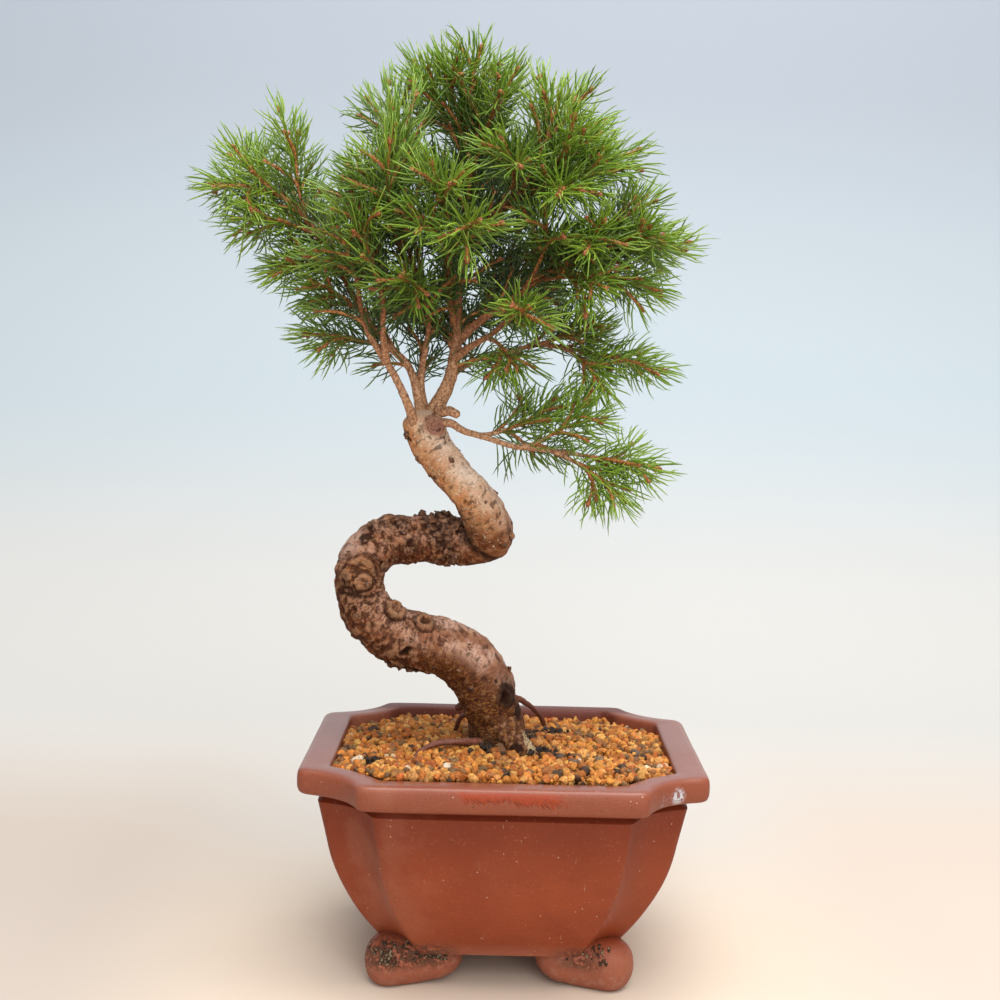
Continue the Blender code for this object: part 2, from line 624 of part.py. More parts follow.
def make_soil():
    """Soil and gravel that fill the pot, with the trunk and roots standing in plain holes."""
    heights = [FLOOR + CLEAR] + [section[0] for section in INSIDE[1:-1]] + [RIM_TOP + BLANK_RISE]
    sections = [(height, x - CLEAR, y - CLEAR) for height, (_, x, y) in zip(heights, INSIDE)]
    soil = loft("soil", sections, GRAVEL)
    half_x = RIM_HALF_WIDTH - RIM_WIDTH / 2
    half_y = RIM_HALF_DEPTH - RIM_WIDTH / 2
    columns = round(2 * half_x / GRAVEL_CELL)
    rows = round(2 * half_y / GRAVEL_CELL)
    points = []
    for row in range(rows + 1):
        for column in range(columns + 1):
            x = -half_x + 2 * half_x * column / columns
            y = -half_y + 2 * half_y * row / rows
            points.append((x, y, soil_height(x, y)))
    for x, y in ((-half_x, -half_y), (half_x, -half_y), (half_x, half_y), (-half_x, half_y)):
        points.append((x, y, 0))
    across = columns + 1
    faces = []
    for row in range(rows):
        for column in range(columns):
            corner = row * across + column
            faces.append((corner, corner + 1, corner + across + 1, corner + across))
    low = rows * across + across
    front = tuple(range(across))
    right = tuple(row * across + columns for row in range(rows + 1))
    back = tuple(rows * across + column for column in range(columns, -1, -1))
    left = tuple(row * across for row in range(rows, -1, -1))
    faces += [(low, low + 1, *front[::-1]), (low + 1, low + 2, *right[::-1]), (low + 2, low + 3, *back[::-1]),
              (low + 3, low, *left[::-1]), (low + 3, low + 2, low + 1, low)]
    gravel = solid("gravel", points, faces, GRAVEL)
    split_faces(soil)
    split_faces(gravel)
    cut(soil, gravel, "INTERSECT")
    for side in (-1, 1):
        plate = solid_box((side * HOLE_X, 0, FLOOR + PLATE_THICKNESS / 2), PLATE_SIDE / 2 + CLEAR,
                          PLATE_THICKNESS / 2 + 2 * CLEAR)
        cut(soil, plate)
    trunk, *others = trunk_and_roots(WOOD_CLEAR)
    join(trunk, others)
    drop_scraps(trunk)
    cut(soil, trunk)
    drop_scraps(soil)


def solid_box(centre, half_side, half_height):
    """A closed box, for the recess that a drain mesh lies in."""
    x, y, z = centre
    points = [(x + a * half_side, y + b * half_side, z + c * half_height)
              for c in (-1, 1) for b in (-1, 1) for a in (-1, 1)]
    faces = [(0, 2, 3, 1), (4, 5, 7, 6), (0, 1, 5, 4), (1, 3, 7, 5), (3, 2, 6, 7), (2, 0, 4, 6)]
    return solid("recess", points, faces, GRAVEL)


def soil_height(x, y):
    """Soil level: mounded round the trunk, heaped to the rim in front, and pebbled."""
    mound = SOIL_MOUND * math.exp(-(x * x + y * y) / MOUND_SPREAD ** 2)
    heap = SOIL_FRONT_HEAP / (1 + math.exp((y + HEAP_START) / HEAP_SPREAD))
    edge = SOIL_EDGE_DROP * max(0.0, abs(x) / SOIL_EDGE_START - 1)
    pebble = GRAVEL_RELIEF * (noise.cell(Vector((x, y, 3)) / GRAVEL_CELL * 1.01) - 0.5)
    return SOIL_LEVEL + mound + heap - edge + pebble


class Clearance:
    """Tapering line segments of what is already placed, each with the name of its node."""

    def __init__(self):
        self.starts = []
        self.ends = []
        self.radii = []
        self.owners = []

    def add(self, owner, start, end, start_radius, end_radius):
        self.starts.append(start)
        self.ends.append(end)
        self.radii.append((start_radius, end_radius))
        self.owners.append(owner)

    def add_path(self, owner, path, start_radius, end_radius):
        radii = np.linspace(start_radius, end_radius, len(path))
        for index in range(len(path) - 1):
            self.add(owner, path[index, :3], path[index + 1, :3], radii[index], radii[index + 1])

    def gap(self, owner, start, end, start_radius, end_radius):
        """The least gap from a new tapering segment to those of other nodes."""
        others = np.array([name != owner for name in self.owners])
        low = np.array(self.starts)[others]
        high = np.array(self.ends)[others]
        radii = np.array(self.radii)[others]
        ours = end - start
        theirs = high - low
        between = start - low
        own_square = ours @ ours
        their_square = np.einsum("ij,ij->i", theirs, theirs)
        dot = theirs @ ours
        lean_own = between @ ours
        lean_their = np.einsum("ij,ij->i", theirs, between)
        spread = np.maximum(own_square * their_square - dot ** 2, 1e-9)
        share = np.clip((dot * lean_their - lean_own * their_square) / spread, 0, 1)
        their_share = np.clip((dot * share + lean_their) / their_square, 0, 1)
        share = np.clip((dot * their_share - lean_own) / own_square, 0, 1)
        apart = start + share[:, None] * ours - low - their_share[:, None] * theirs
        thickness = start_radius + (end_radius - start_radius) * share
        thickness += radii[:, 0] + (radii[:, 1] - radii[:, 0]) * their_share
        return float((np.linalg.norm(apart, axis=1) - thickness).min())


def leafy_shoot(owner, path, placed, draw):
    """A slim three-sided core whose faces are drawn out into needles, ending in a bud."""
    total = lengths_along(path)[-1]
    rings = [total - CLEAR]
    while rings[0] > NEEDLE_STEP + NEEDLE_BASE:
        rings = [rings[0] - NEEDLE_BASE - NEEDLE_STEP, rings[0] - NEEDLE_BASE] + rings
    rings[0] = 0.0
    line = np.array([point_at(path, distance)[0] for distance in rings])
    along, across, upward = side_vectors(np.vstack([line, path[-1, :3]]))
    turn = draw.uniform(0, math.tau)
    points = []
    for index, centre in enumerate(line):
        if index % 2 and index:
            turn += NEEDLE_TWIST
        radius = CORE_RADIUS + (CORE_TIP_RADIUS - CORE_RADIUS) * rings[index] / total
        for side in range(CORE_SIDES):
            angle = turn + math.tau * side / CORE_SIDES
            out = math.cos(angle) * across[index] + math.sin(angle) * upward[index]
            points.append(centre + radius * out)
    faces = [tuple(reversed(range(CORE_SIDES)))]
    for index in range(len(line) - 1):
        low = index * CORE_SIDES
        for side in range(CORE_SIDES):
            after = (side + 1) % CORE_SIDES
            ring = (low + side, low + after, low + CORE_SIDES + after, low + CORE_SIDES + side)
            needle = None
            if index % 2:
                middle = sum(points[corner] for corner in ring) / 4
                out = unit(middle - 0.5 * (line[index] + line[index + 1]))
                needle = free_needle(owner, middle, along[index], out, rings[index] / total, placed, draw)
            if needle is None:
                faces += [(ring[0], ring[1], ring[2]), (ring[0], ring[2], ring[3])]
                continue
            points.append(needle)
            faces += [(ring[corner], ring[(corner + 1) % 4], len(points) - 1) for corner in range(4)]
    last = (len(line) - 1) * CORE_SIDES
    points.append(line[-1] + along[-1] * BUD_LENGTH)
    faces += [(last + side, last + (side + 1) % CORE_SIDES, len(points) - 1) for side in range(CORE_SIDES)]
    return points, faces


def free_needle(owner, root, along, out, share, placed, draw):
    """A needle's end that stays clear of every other node, or None where there is no room."""
    late = max(0.0, share - LEAN_CHANGE) / (1 - LEAN_CHANGE)
    lean = NEEDLE_LEAN + (NEEDLE_LEAN_AT_TIP - NEEDLE_LEAN) * late
    sideways = np.cross(along, out)
    for attempt in range(NEEDLE_TRIES):
        tilt = lean + draw.uniform(-LEAN_SPREAD, LEAN_SPREAD)
        swing = draw.uniform(-SWING_SPREAD, SWING_SPREAD) * (1 + 2 * attempt / NEEDLE_TRIES)
        length = NEEDLE_LENGTH * draw.uniform(*LENGTH_SPREAD)
        length *= (1 - TIP_SHORTENING * share) * (1 - TRY_SHORTENING * attempt)
        heading = math.cos(swing) * out + math.sin(swing) * sideways
        end = root + length * (math.cos(tilt) * along + math.sin(tilt) * heading)
        if placed.gap(owner, root, end, NEEDLE_ROOT, NEEDLE_POINT) > NEEDLE_CLEARANCE:
            placed.add(owner, root, end, NEEDLE_ROOT, NEEDLE_POINT)
            return end
    return None


def shoot_solid(owner, path, placed, draw):
    points, faces = leafy_shoot(owner, path, placed, draw)
    return solid("shoot", points, faces, NEEDLES)


def make_sprays():
    """Each spray: a main shoot and a side shoot with their needles, fused in one node."""
    placed = Clearance()
    for name in LIMBS:
        path = limb_path(name, GUARD_SPACING)
        placed.add_path("tree_wood", path, LIMBS[name][1], LIMBS[name][2])
    trunk = smooth_path(TRUNK, TRUNK_SPACING)
    for start, end in zip(trunk, trunk[1:]):
        placed.add("tree_wood", start[:3], end[:3], start[3], end[3])
    shoots = {}
    for name, (limb, share, tips) in SPRAYS.items():
        path = spray_path(name)
        total = lengths_along(path)[-1]
        leafy = leafy_length(path)
        twig = cut_path(path, 0, total - leafy, GUARD_SPACING)
        placed.add_path("tree_wood", twig, TWIG_RADIUS, TWIG_TIP_RADIUS)
        main = cut_path(path, total - leafy, total, CORE_SPACING)
        sides = [side_path(path, tip, leafy) for tip in tips[1:]]
        shoots[name] = [main] + sides
    for name, paths in shoots.items():
        for index, path in enumerate(paths):
            placed.add_path((name, index), path[::3], CORE_RADIUS, CORE_TIP_RADIUS)
    draw = random.Random(SEED)
    for name, paths in shoots.items():
        parts = [shoot_solid((name, index), path, placed, draw) for index, path in enumerate(paths)]
        if len(parts) > 1:
            join(parts[0], parts[1:], "MANIFOLD")
        drop_scraps(parts[0])
        parts[0].name = "spray_" + name


def centre_on_origin():
    """Shift every piece so that the origin lies under the middle of the whole."""
    bpy.context.view_layer.update()
    corners = [thing.matrix_world @ point.co for thing in bpy.data.objects for point in thing.data.vertices]
    low_x, high_x = min(c.x for c in corners), max(c.x for c in corners)
    low_y, high_y = min(c.y for c in corners), max(c.y for c in corners)
    for thing in bpy.data.objects:
        thing.location.x -= (low_x + high_x) / 2
        thing.location.y -= (low_y + high_y) / 2


clear_scene()
make_pot()
make_drain_mesh("drain_mesh_left", -HOLE_X)
make_drain_mesh("drain_mesh_right", HOLE_X)
make_soil()
make_wood()
make_sprays()
centre_on_origin()
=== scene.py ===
"""Looks of the spruce bonsai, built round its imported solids.

Lengths are in millimetres about the middle of the pot's plan, with the ground at z = 0, until
a piece's mesh is made.
"""

import math
import random

import bpy
import numpy as np
from mathutils import Matrix, Vector, noise


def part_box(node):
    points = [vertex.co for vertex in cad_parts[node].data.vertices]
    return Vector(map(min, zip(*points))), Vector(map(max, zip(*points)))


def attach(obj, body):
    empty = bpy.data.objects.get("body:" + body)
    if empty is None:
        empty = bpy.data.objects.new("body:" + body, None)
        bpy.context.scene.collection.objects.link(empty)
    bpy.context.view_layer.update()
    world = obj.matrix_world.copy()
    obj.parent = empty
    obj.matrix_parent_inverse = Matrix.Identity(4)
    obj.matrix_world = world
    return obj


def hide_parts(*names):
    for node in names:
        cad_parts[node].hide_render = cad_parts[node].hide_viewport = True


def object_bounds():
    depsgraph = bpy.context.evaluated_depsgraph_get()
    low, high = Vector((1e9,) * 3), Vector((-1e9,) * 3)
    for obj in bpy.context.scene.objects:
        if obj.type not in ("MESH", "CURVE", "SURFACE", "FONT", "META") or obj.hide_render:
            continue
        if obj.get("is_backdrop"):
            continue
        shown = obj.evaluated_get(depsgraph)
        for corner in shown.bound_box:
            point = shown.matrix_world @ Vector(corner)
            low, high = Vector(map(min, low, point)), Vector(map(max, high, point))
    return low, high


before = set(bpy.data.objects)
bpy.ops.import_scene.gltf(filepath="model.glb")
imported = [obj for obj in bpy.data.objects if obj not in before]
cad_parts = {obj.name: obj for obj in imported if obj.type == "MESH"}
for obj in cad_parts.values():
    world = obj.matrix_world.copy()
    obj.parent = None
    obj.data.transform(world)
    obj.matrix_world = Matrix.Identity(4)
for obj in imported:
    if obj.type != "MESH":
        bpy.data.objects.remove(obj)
cad_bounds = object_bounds()


# The pot: one body of iron-rich clay, pressed in a mould, fired and left unglazed. It has a rim
# with a rounded face, a groove under it, a bellied body with scooped corners and four cloud feet.
# Years of use left specks, chips, a drip stain and a crust of lime on it.
pot_low, pot_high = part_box("pot")
pot_middle = (pot_low + pot_high) / 2
rim_half_width = 77.0
rim_half_depth = 68.3
inner_half_width = 65.0
inner_half_depth = 58.0
corner_share = 0.32
corner_curve = 0.19
inner_corner_curve = 0.36
wobble_height = 0.22
# Points of the plan's outline along half a short side, a scooped corner and half a long side.
side_steps = 20
corner_steps = 26
front_steps = 22
# Height and inset from the rim's face, from the level top down to the groove.
rim_profile = (
    (86.4, 6.0), (86.4, 3.2), (86.3, 2.1), (85.9, 1.2), (85.2, 0.5), (84.3, 0.15), (82.6, 0.0), (80.6, 0.0),
    (78.9, 0.15), (77.7, 0.55), (77.0, 1.2), (76.6, 2.1), (76.6, 4.0), (76.5, 6.4), (76.1, 8.0), (75.2, 9.0),
    (74.2, 9.2), (73.6, 8.6), (73.1, 7.9),
)
# Height, half width and half depth of the body and of the hollow inside.
body_profile = (
    (72.6, 69.6, 60.9), (70.4, 69.1, 60.4), (60.0, 66.8, 59.2), (49.0, 64.4, 57.0), (38.5, 60.4, 53.6),
    (27.0, 54.2, 47.4), (15.4, 46.2, 39.4), (13.4, 44.9, 38.1), (13.0, 43.6, 36.8),
)
hollow_profile = (
    (19.0, 44.5, 38.2), (23.0, 48.6, 42.0), (34.0, 53.8, 47.2), (50.0, 58.8, 51.9), (72.0, 63.8, 56.8),
    (84.0, 65.0, 58.0), (85.4, 65.1, 58.1), (86.1, 65.6, 58.6), (86.4, 66.5, 59.5),
)
# Each foot has three lobes: middle across, middle deep, radius, and the angles its edge runs between.
foot_lobes = ((42.0, 32.4, 9.7, -35, 125), (23.4, 28.4, 9.8, 50, 250), (36.4, 13.6, 9.8, 200, 400))
lobe_steps = 16
# Height in the foot and share of each lobe's radius there.
foot_profile = (
    (0.0, 0.5), (0.5, 0.62), (1.6, 0.76), (4.6, 0.93), (9.2, 1.0), (14.0, 0.92), (17.4, 0.66), (18.6, 0.4),
    (19.0, 0.12),
)
foot_wobble = 0.3
# The inner lobe's underside stands off the ground, more towards the pot's middle.
foot_raise = 4.5
raised_from = 34.0
raised_over = 20.0
raised_below = 12.0
drain_across = 21.0
drain_radius = 6.5
drain_heights = (10.0, 22.0)
drain_sides = 32
# The drip stain on the front of the rim: the height of its lower edge.
drip_level = 74.6
crust_place = (64.2, -51.0, 80.5)
crust_trail_place = (60.0, -57.0, 79.0)
dirty_foot_place = (-36.0, -41.0, 12.0)
dusty_foot_place = (30.0, -41.0, 12.0)
sharp_angle = math.radians(38)


class Field:
    """A value worked out over a surface. Sums and products of fields add the nodes for them."""

    def __init__(self, tree, socket=None):
        self.tree = tree
        self.socket = socket

    def node(self, kind, settings=None, values=None, output=0):
        """Add any node: its settings first, then the numbers, colours or fields of its sockets."""
        made = self.tree.nodes.new(kind)
        for name, setting in (settings or {}).items():
            setattr(made, name, setting)
        for name, value in (values or {}).items():
            self.feed(made.inputs[name], value)
        return Field(self.tree, made.outputs[output])

    def feed(self, socket, value):
        """Link a field to a socket, or set a number or a colour on it."""
        if isinstance(value, Field):
            self.tree.links.new(value.socket, socket)
        elif isinstance(value, tuple) and len(value) < len(socket.default_value):
            socket.default_value = (*value, 1)
        else:
            socket.default_value = value

    def combine(self, operation, first, second):
        """Add a Math node, or a Vector Math node where either side is a place or a colour."""
        wide = False
        for part in (first, second):
            wide = wide or isinstance(part, tuple) or isinstance(part, Field) and part.socket.type != "VALUE"
        kind = "ShaderNodeVectorMath" if wide else "ShaderNodeMath"
        if wide:
            first = (first,) * 3 if isinstance(first, (int, float)) else first
            second = (second,) * 3 if isinstance(second, (int, float)) else second
        return self.node(kind, {"operation": operation}, {0: first, 1: second})

    def __add__(self, other):
        return self.combine("ADD", self, other)

    def __sub__(self, other):
        return self.combine("SUBTRACT", self, other)

    def __rsub__(self, other):
        return self.combine("SUBTRACT", other, self)

    def __mul__(self, other):
        return self.combine("MULTIPLY", self, other)

    __radd__ = __add__
    __rmul__ = __mul__

    def axis(self, letter):
        return self.node("ShaderNodeSeparateXYZ", None, {0: self}, letter)

    def rise(self, start, end):
        """0 at start, 1 at end and a smooth step between them."""
        return self.node("ShaderNodeMapRange", {"interpolation_type": "SMOOTHSTEP"},
                         {"Value": self, "From Min": start, "From Max": end})

    def between(self, low, high):
        """The colour low where this is 0 and high where it is 1."""
        return self.node("ShaderNodeMix", {"data_type": "RGBA"}, {0: self, 6: low, 7: high}, 2)

    def clouds(self, size, detail=3.0, roughness=0.55):
        """Noise over this place, with lumps about size millimetres across."""
        return self.node("ShaderNodeTexNoise", None,
                         {"Vector": self, "Scale": 1 / size, "Detail": detail, "Roughness": roughness})

    def near(self, centre, reach, soft):
        """1 within reach of a point, 0 beyond, over a soft edge."""
        gap = self.node("ShaderNodeVectorMath", {"operation": "DISTANCE"}, {0: self, 1: centre}, "Value")
        return gap.rise(reach + soft, reach - soft)


def new_finish(name, **sockets):
    """A material, the place on its surface in millimetres about the pot's middle, and its shader."""
    material = bpy.data.materials.new(name)
    material.use_nodes = True
    shader = material.node_tree.nodes["Principled BSDF"]
    for socket, value in sockets.items():
        shader.inputs[socket.replace("_", " ")].default_value = value
    start = Field(material.node_tree)
    place = start.node("ShaderNodeTexCoord", output="Object")
    place = (place - (pot_middle.x, pot_middle.y, 0.0)) * 1000.0
    return material, place, shader


def painted(colour, *coats):
    """A colour under coats, each given by how much it covers and its own colour."""
    for cover, tint in coats:
        colour = cover.between(colour, tint)
    return colour


def set_relief(place, shader, height, depth):
    """Bump the surface by a field of height, depth millimetres deep."""
    bump = place.node("ShaderNodeBump", None, {"Height": height, "Distance": depth * 0.001})
    place.feed(shader.inputs["Normal"], bump)


def make_piece(name, points, faces, finish, material_slot, *nodes):
    """A piece of the object from points in millimetres, in place of the CAD nodes named."""
    mesh = bpy.data.meshes.new(name)
    corners = np.asarray(points, float) * 0.001 + (pot_middle.x, pot_middle.y, 0)
    mesh.from_pydata(corners.tolist(), [], faces)
    mesh.shade_smooth()
    mesh.materials.append(finish)
    thing = bpy.data.objects.new(name, mesh)
    bpy.context.scene.collection.objects.link(thing)
    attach(thing, "root")
    if nodes:
        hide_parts(*nodes)
    return thing


def bend(start, control, end, count):
    """Points on a quadratic curve."""
    share = np.linspace(0, 1, count)[:, None]
    return (1 - share) ** 2 * start + 2 * share * (1 - share) * control + share ** 2 * end


def smooth_path(points, spacing):
    """Points about one spacing apart on a Catmull-Rom curve through given ones."""
    given = np.array(points, float)
    padded = np.vstack([2 * given[0] - given[1], given, 2 * given[-1] - given[-2]])
    path = []
    for index in range(len(given) - 1):
        before, start, end, after = padded[index:index + 4]
        pieces = max(1, round(np.linalg.norm((end - start)[:3]) / spacing))
        for piece in range(pieces):
            t = piece / pieces
            square = 2 * before - 5 * start + 4 * end - after
            cube = 3 * start - before - 3 * end + after
            path.append(0.5 * (2 * start + (end - before) * t + square * t ** 2 + cube * t ** 3))
    path.append(given[-1])
    return np.array(path)


def soften(loop, times):
    """Round a closed outline by averaging each point with its neighbours."""
    for _ in range(times):
        loop = 0.25 * np.roll(loop, 1, 0) + 0.5 * loop + 0.25 * np.roll(loop, -1, 0)
    return loop


def plan_outline(half_x, half_y, curve=corner_curve):
    """The pot's plan at one height: a rectangle with scooped corners, anticlockwise."""
    side_end = np.array((half_x, half_y * (1 - corner_share)))
    front_end = np.array((half_x * (1 - corner_share), half_y))
    scoop = np.array((front_end[0], side_end[1])) + curve * corner_share * np.array((half_x, half_y))
    side = np.linspace((half_x, 0), side_end, side_steps)[1:-1]
    front = np.linspace(front_end, (0, half_y), front_steps)[1:-1]
    quarter = np.vstack([side, bend(side_end, scoop, front_end, corner_steps), front])
    loop = np.vstack([quarter, (quarter * (-1, 1))[::-1], quarter * (-1, -1), (quarter * (1, -1))[::-1]])
    return soften(loop, 3)


def ring_faces(levels, around, capped=True):
    """Faces of a skin over rings of points, with both ends filled if it is capped."""
    faces = []
    for level in range(levels - 1):
        low = level * around
        for side in range(around):
            after = (side + 1) % around
            faces.append((low + side, low + after, low + around + after, low + around + side))
    if capped:
        faces.append(tuple(range(around))[::-1])
        faces.append(tuple(range((levels - 1) * around, levels * around)))
    return faces


# The offsets of noise.noise_vector come from this seed, here and on the trunk.
noise_seed = 1
noise.seed_set(noise_seed)


def wobbled(points, height, size):
    """Points moved a little by a smooth noise, as hand-pressed clay is."""
    moved = [Vector(point) + height * Vector(noise.noise_vector(Vector(point) / size)) for point in points]
    return np.array(moved)


def carve(base, others, operation):
    """Join other meshes to base or cut them out of it."""
    for other in others:
        step = base.modifiers.new("carve", "BOOLEAN")
        step.operation = operation
        step.object = other
        step.solver = "EXACT"
    bpy.context.view_layer.update()
    base.data = bpy.data.meshes.new_from_object(base.evaluated_get(bpy.context.evaluated_depsgraph_get()))
    base.modifiers.clear()
    for other in others:
        bpy.data.objects.remove(other)


clay, place, shader = new_finish("fired_clay", Specular_IOR_Level=0.3, Coat_Roughness=0.28)
across = place.axis("X")
depth = place.axis("Y")
height = place.axis("Z")
cloudy = place.clouds(22.0, 4)
fine = place.clouds(1.1, 2)
on_rim = height.rise(73.0, 79.0)
# The body under the rim is darkened in its colour as a painted shadow of the rim.
painted_rim_shadow = height.rise(40.0, 73.0) * height.rise(77.5, 76.0)
inner_wall = height.rise(86.3, 85.7) * depth.rise(50.0, 53.0) * depth.rise(60.6, 60.0)
back_rim = height.rise(84.0, 86.0) * depth.rise(52.0, 58.0)
dusty = place.clouds(30.0, 3, 0.6).rise(0.48, 0.66) * across.rise(20.0, -50.0)
pale_grains = fine.rise(0.60, 0.75)
dark_grains = place.clouds(0.7, 1).rise(0.68, 0.76)
speck_gaps = place.node("ShaderNodeTexVoronoi", None, {"Vector": place, "Scale": 1 / 2.6}, "Distance")
specks = speck_gaps.rise(0.12, 0.07) * place.clouds(7.0, 2).rise(0.52, 0.62)
scrapes = (place * (0.9, 0.9, 0.22)).clouds(1.0, 3, 0.6).rise(0.66, 0.74)
scrapes = scrapes * place.clouds(14.0, 2).rise(0.5, 0.62)
dust = height.rise(22.0, 2.0) * place.clouds(3.0, 5, 0.65).rise(0.48, 0.66)
foot_tops = height.rise(6.0, 11.0) * height.rise(21.0, 15.0)
dirt_places = place.near(dirty_foot_place, 17.0, 10.0) * 0.9 + place.near(dusty_foot_place, 7.0, 7.0) * 0.8
dirt = foot_tops * dirt_places * place.clouds(2.6, 6, 0.72).rise(0.46, 0.53)
dirt_grains = dirt * place.clouds(0.6, 2).rise(0.62, 0.68)
slanted = across + height * 0.8
drip_edge = slanted.clouds(1.5, 3, 0.6) * 8.0 + place.clouds(8.0, 2) * 5.0 + drip_level
drip = slanted.rise(49.0, 54.0) * slanted.rise(91.0, 84.0) * (height - drip_edge).rise(-0.1, 0.2)
drip = drip * depth.rise(-60.0, -66.0) * height.rise(85.6, 84.8)
runs = drip * (height - drip_edge).rise(1.6, 0.6) * slanted.clouds(0.8, 1).rise(0.44, 0.56)
crust = place.near(crust_place, 2.7, 1.6) * place.clouds(1.3, 4, 0.7).rise(0.40, 0.55)
trail = place.near(crust_trail_place, 3.2, 2.0) * place.clouds(1.0, 4, 0.7).rise(0.50, 0.62)
crust = crust + trail * 0.4
colour = painted(
    cloudy.rise(0.25, 0.75).between((0.222, 0.037, 0.009), (0.266, 0.048, 0.0125)),
    # Painted shadow under the rim.
    (painted_rim_shadow * 0.55, (0.125, 0.013, 0.002)),
    (on_rim * 0.6, (0.235, 0.074, 0.042)),
    (inner_wall * 0.75, (0.11, 0.018, 0.007)),
    (back_rim * 0.85, (0.11, 0.018, 0.007)),
    (dusty * 0.22, (0.36, 0.15, 0.09)),
    (pale_grains * 0.25, (0.40, 0.16, 0.09)),
    (dark_grains * 0.7, (0.06, 0.022, 0.014)),
    (specks * 0.8, (0.60, 0.42, 0.32)),
    (scrapes * 0.3, (0.52, 0.34, 0.26)),
    (dust * 0.35, (0.40, 0.27, 0.19)),
    (height.rise(21.0, 13.0) * 0.35, (0.40, 0.17, 0.11)),
    (dirt * 0.9, (0.050, 0.030, 0.016)),
    (dirt_grains * 0.6, (0.30, 0.23, 0.14)),
    (drip * 0.9, (0.29, 0.038, 0.008)),
    (runs * 0.8, (0.075, 0.016, 0.009)),
    (crust, (0.62, 0.60, 0.63)),
)
place.feed(shader.inputs["Base Color"], colour)
roughness = 0.5 - on_rim * 0.1 - drip * 0.2 + dust * 0.3 + dirt * 0.3 + fine * 0.1
place.feed(shader.inputs["Roughness"], roughness)
gloss = on_rim * height.rise(85.0, 86.2) * (0.75 - depth.rise(46.0, 58.0) * 0.65)
place.feed(shader.inputs["Coat Weight"], gloss)
pits = place.clouds(0.55, 3, 0.6) * 0.5 + place.clouds(6.0, 2) * 0.8 - speck_gaps.rise(0.08, 0.03) * 0.2
set_relief(place, shader, pits + crust * 0.8 + dirt * 1.2, 0.35)

rim = [(level, rim_half_width - inset, rim_half_depth - inset) for level, inset in rim_profile]
hollow = np.vstack([smooth_path(hollow_profile[:5], 4.0), hollow_profile[5:]])
profile = np.vstack([hollow, rim, smooth_path(body_profile, 2.2)])
pot_points = []
for row, (level, half_x, half_y) in reversed(list(enumerate(profile))):
    curve = inner_corner_curve if row < len(hollow) else corner_curve
    pot_points += [(x, y, level) for x, y in plan_outline(half_x, half_y, curve)]
around = len(pot_points) // len(profile)
pot_points = wobbled(pot_points, wobble_height, 26.0)
pot = make_piece("clay_pot", pot_points, ring_faces(len(profile), around), clay, "fired_clay", "pot")
feet = []
for flip_x, flip_y in ((1, 1), (-1, 1), (-1, -1), (1, -1)):
    points = []
    levels = smooth_path(foot_profile, 1.3)
    for level, share in levels:
        loop = []
        for x, y, radius, first, last in foot_lobes:
            for step in range(lobe_steps):
                angle = math.radians(first + (last - first) * step / (lobe_steps - 1))
                loop.append((x + share * radius * math.cos(angle), y + share * radius * math.sin(angle)))
        loop = soften(np.array(loop), 2) * (flip_x, flip_y)
        if flip_x * flip_y < 0:
            loop = loop[::-1]
        points += [(x, y, level) for x, y in loop]
    points = wobbled(points, foot_wobble, 9.0)
    points[:, 2] = np.maximum(points[:, 2], 0)
    inward = np.clip((raised_from - np.abs(points[:, 0])) / raised_over, 0, 1) ** 1.5
    low_down = np.clip(1 - points[:, 2] / raised_below, 0, 1)
    points[:, 2] += foot_raise * inward * low_down
    faces = ring_faces(len(levels), len(points) // len(levels))
    feet.append(make_piece("foot", points, faces, clay, "fired_clay"))
carve(pot, feet, "UNION")
drains = []
for side in (-1, 1):
    turns = np.linspace(0, math.tau, drain_sides, endpoint=False)
    points = [(side * drain_across + drain_radius * math.cos(turn), drain_radius * math.sin(turn), level)
              for level in drain_heights for turn in turns]
    drains.append(make_piece("drain", points, ring_faces(2, drain_sides), clay, "fired_clay"))
carve(pot, drains, "DIFFERENCE")
pot.data.shade_smooth()
pot.data.set_sharp_from_angle(angle=sharp_angle)


# The soil: a bed of fine wet mix, filled to just under the rim and heaped a little in front.
# It is made as one surface that shows only in the chinks of the gravel on top of it.
soil_level = 84.6
mound_height = 1.2
mound_reach = 30.0
# The heap in front and the drop behind: height, the line where it is half of it, and how softly it ends.
heap_height = 2.2
heap_line = -34.0
heap_softness = 7.0
back_drop = 2.6
back_line = 34.0
back_softness = 6.0
# The short sides fall away past side_start from the middle.
side_drop = 5.0
side_start = 46.0
trunk_foot = (-1.0, 2.0)
trunk_foot_radius = 11.6
toe_lines = (((0.0, -2.0), (6.5, -14.0)), ((3.0, -1.0), (11.0, -13.5)))
toe_half_width = 2.6
bed_rings = 26
# The bed lies this much under the gravel's level and inside the pot's wall.
bed_depth = 1.9
bed_inset = 0.9
# Height, half width and half depth of the bed's sides, down to just over the pot's floor.
bed_sides = ((70.0, 62.4, 55.6), (34.0, 53.2, 46.6), (21.5, 47.6, 41.0))


def soil_height(x, y):
    """Soil level: mounded round the trunk, heaped in front, lower behind and at the short sides."""
    mound = mound_height * np.exp(-(x * x + y * y) / mound_reach ** 2)
    raised = heap_height / (1 + np.exp((y - heap_line) / heap_softness))
    sunk = back_drop / (1 + np.exp((back_line - y) / back_softness))
    sunk = sunk + side_drop * np.maximum(0, np.abs(x) / side_start - 1)
    return soil_level + mound + raised - sunk


def inside_outline(x, y, loop):
    """Which of the points lie inside a closed outline."""
    inside = np.zeros(len(x), bool)
    for (x1, y1), (x2, y2) in zip(loop, np.roll(loop, -1, 0)):
        crosses = (y1 > y) != (y2 > y)
        if y1 != y2:
            inside ^= crosses & (x < (x2 - x1) * (y - y1) / (y2 - y1) + x1)
    return inside


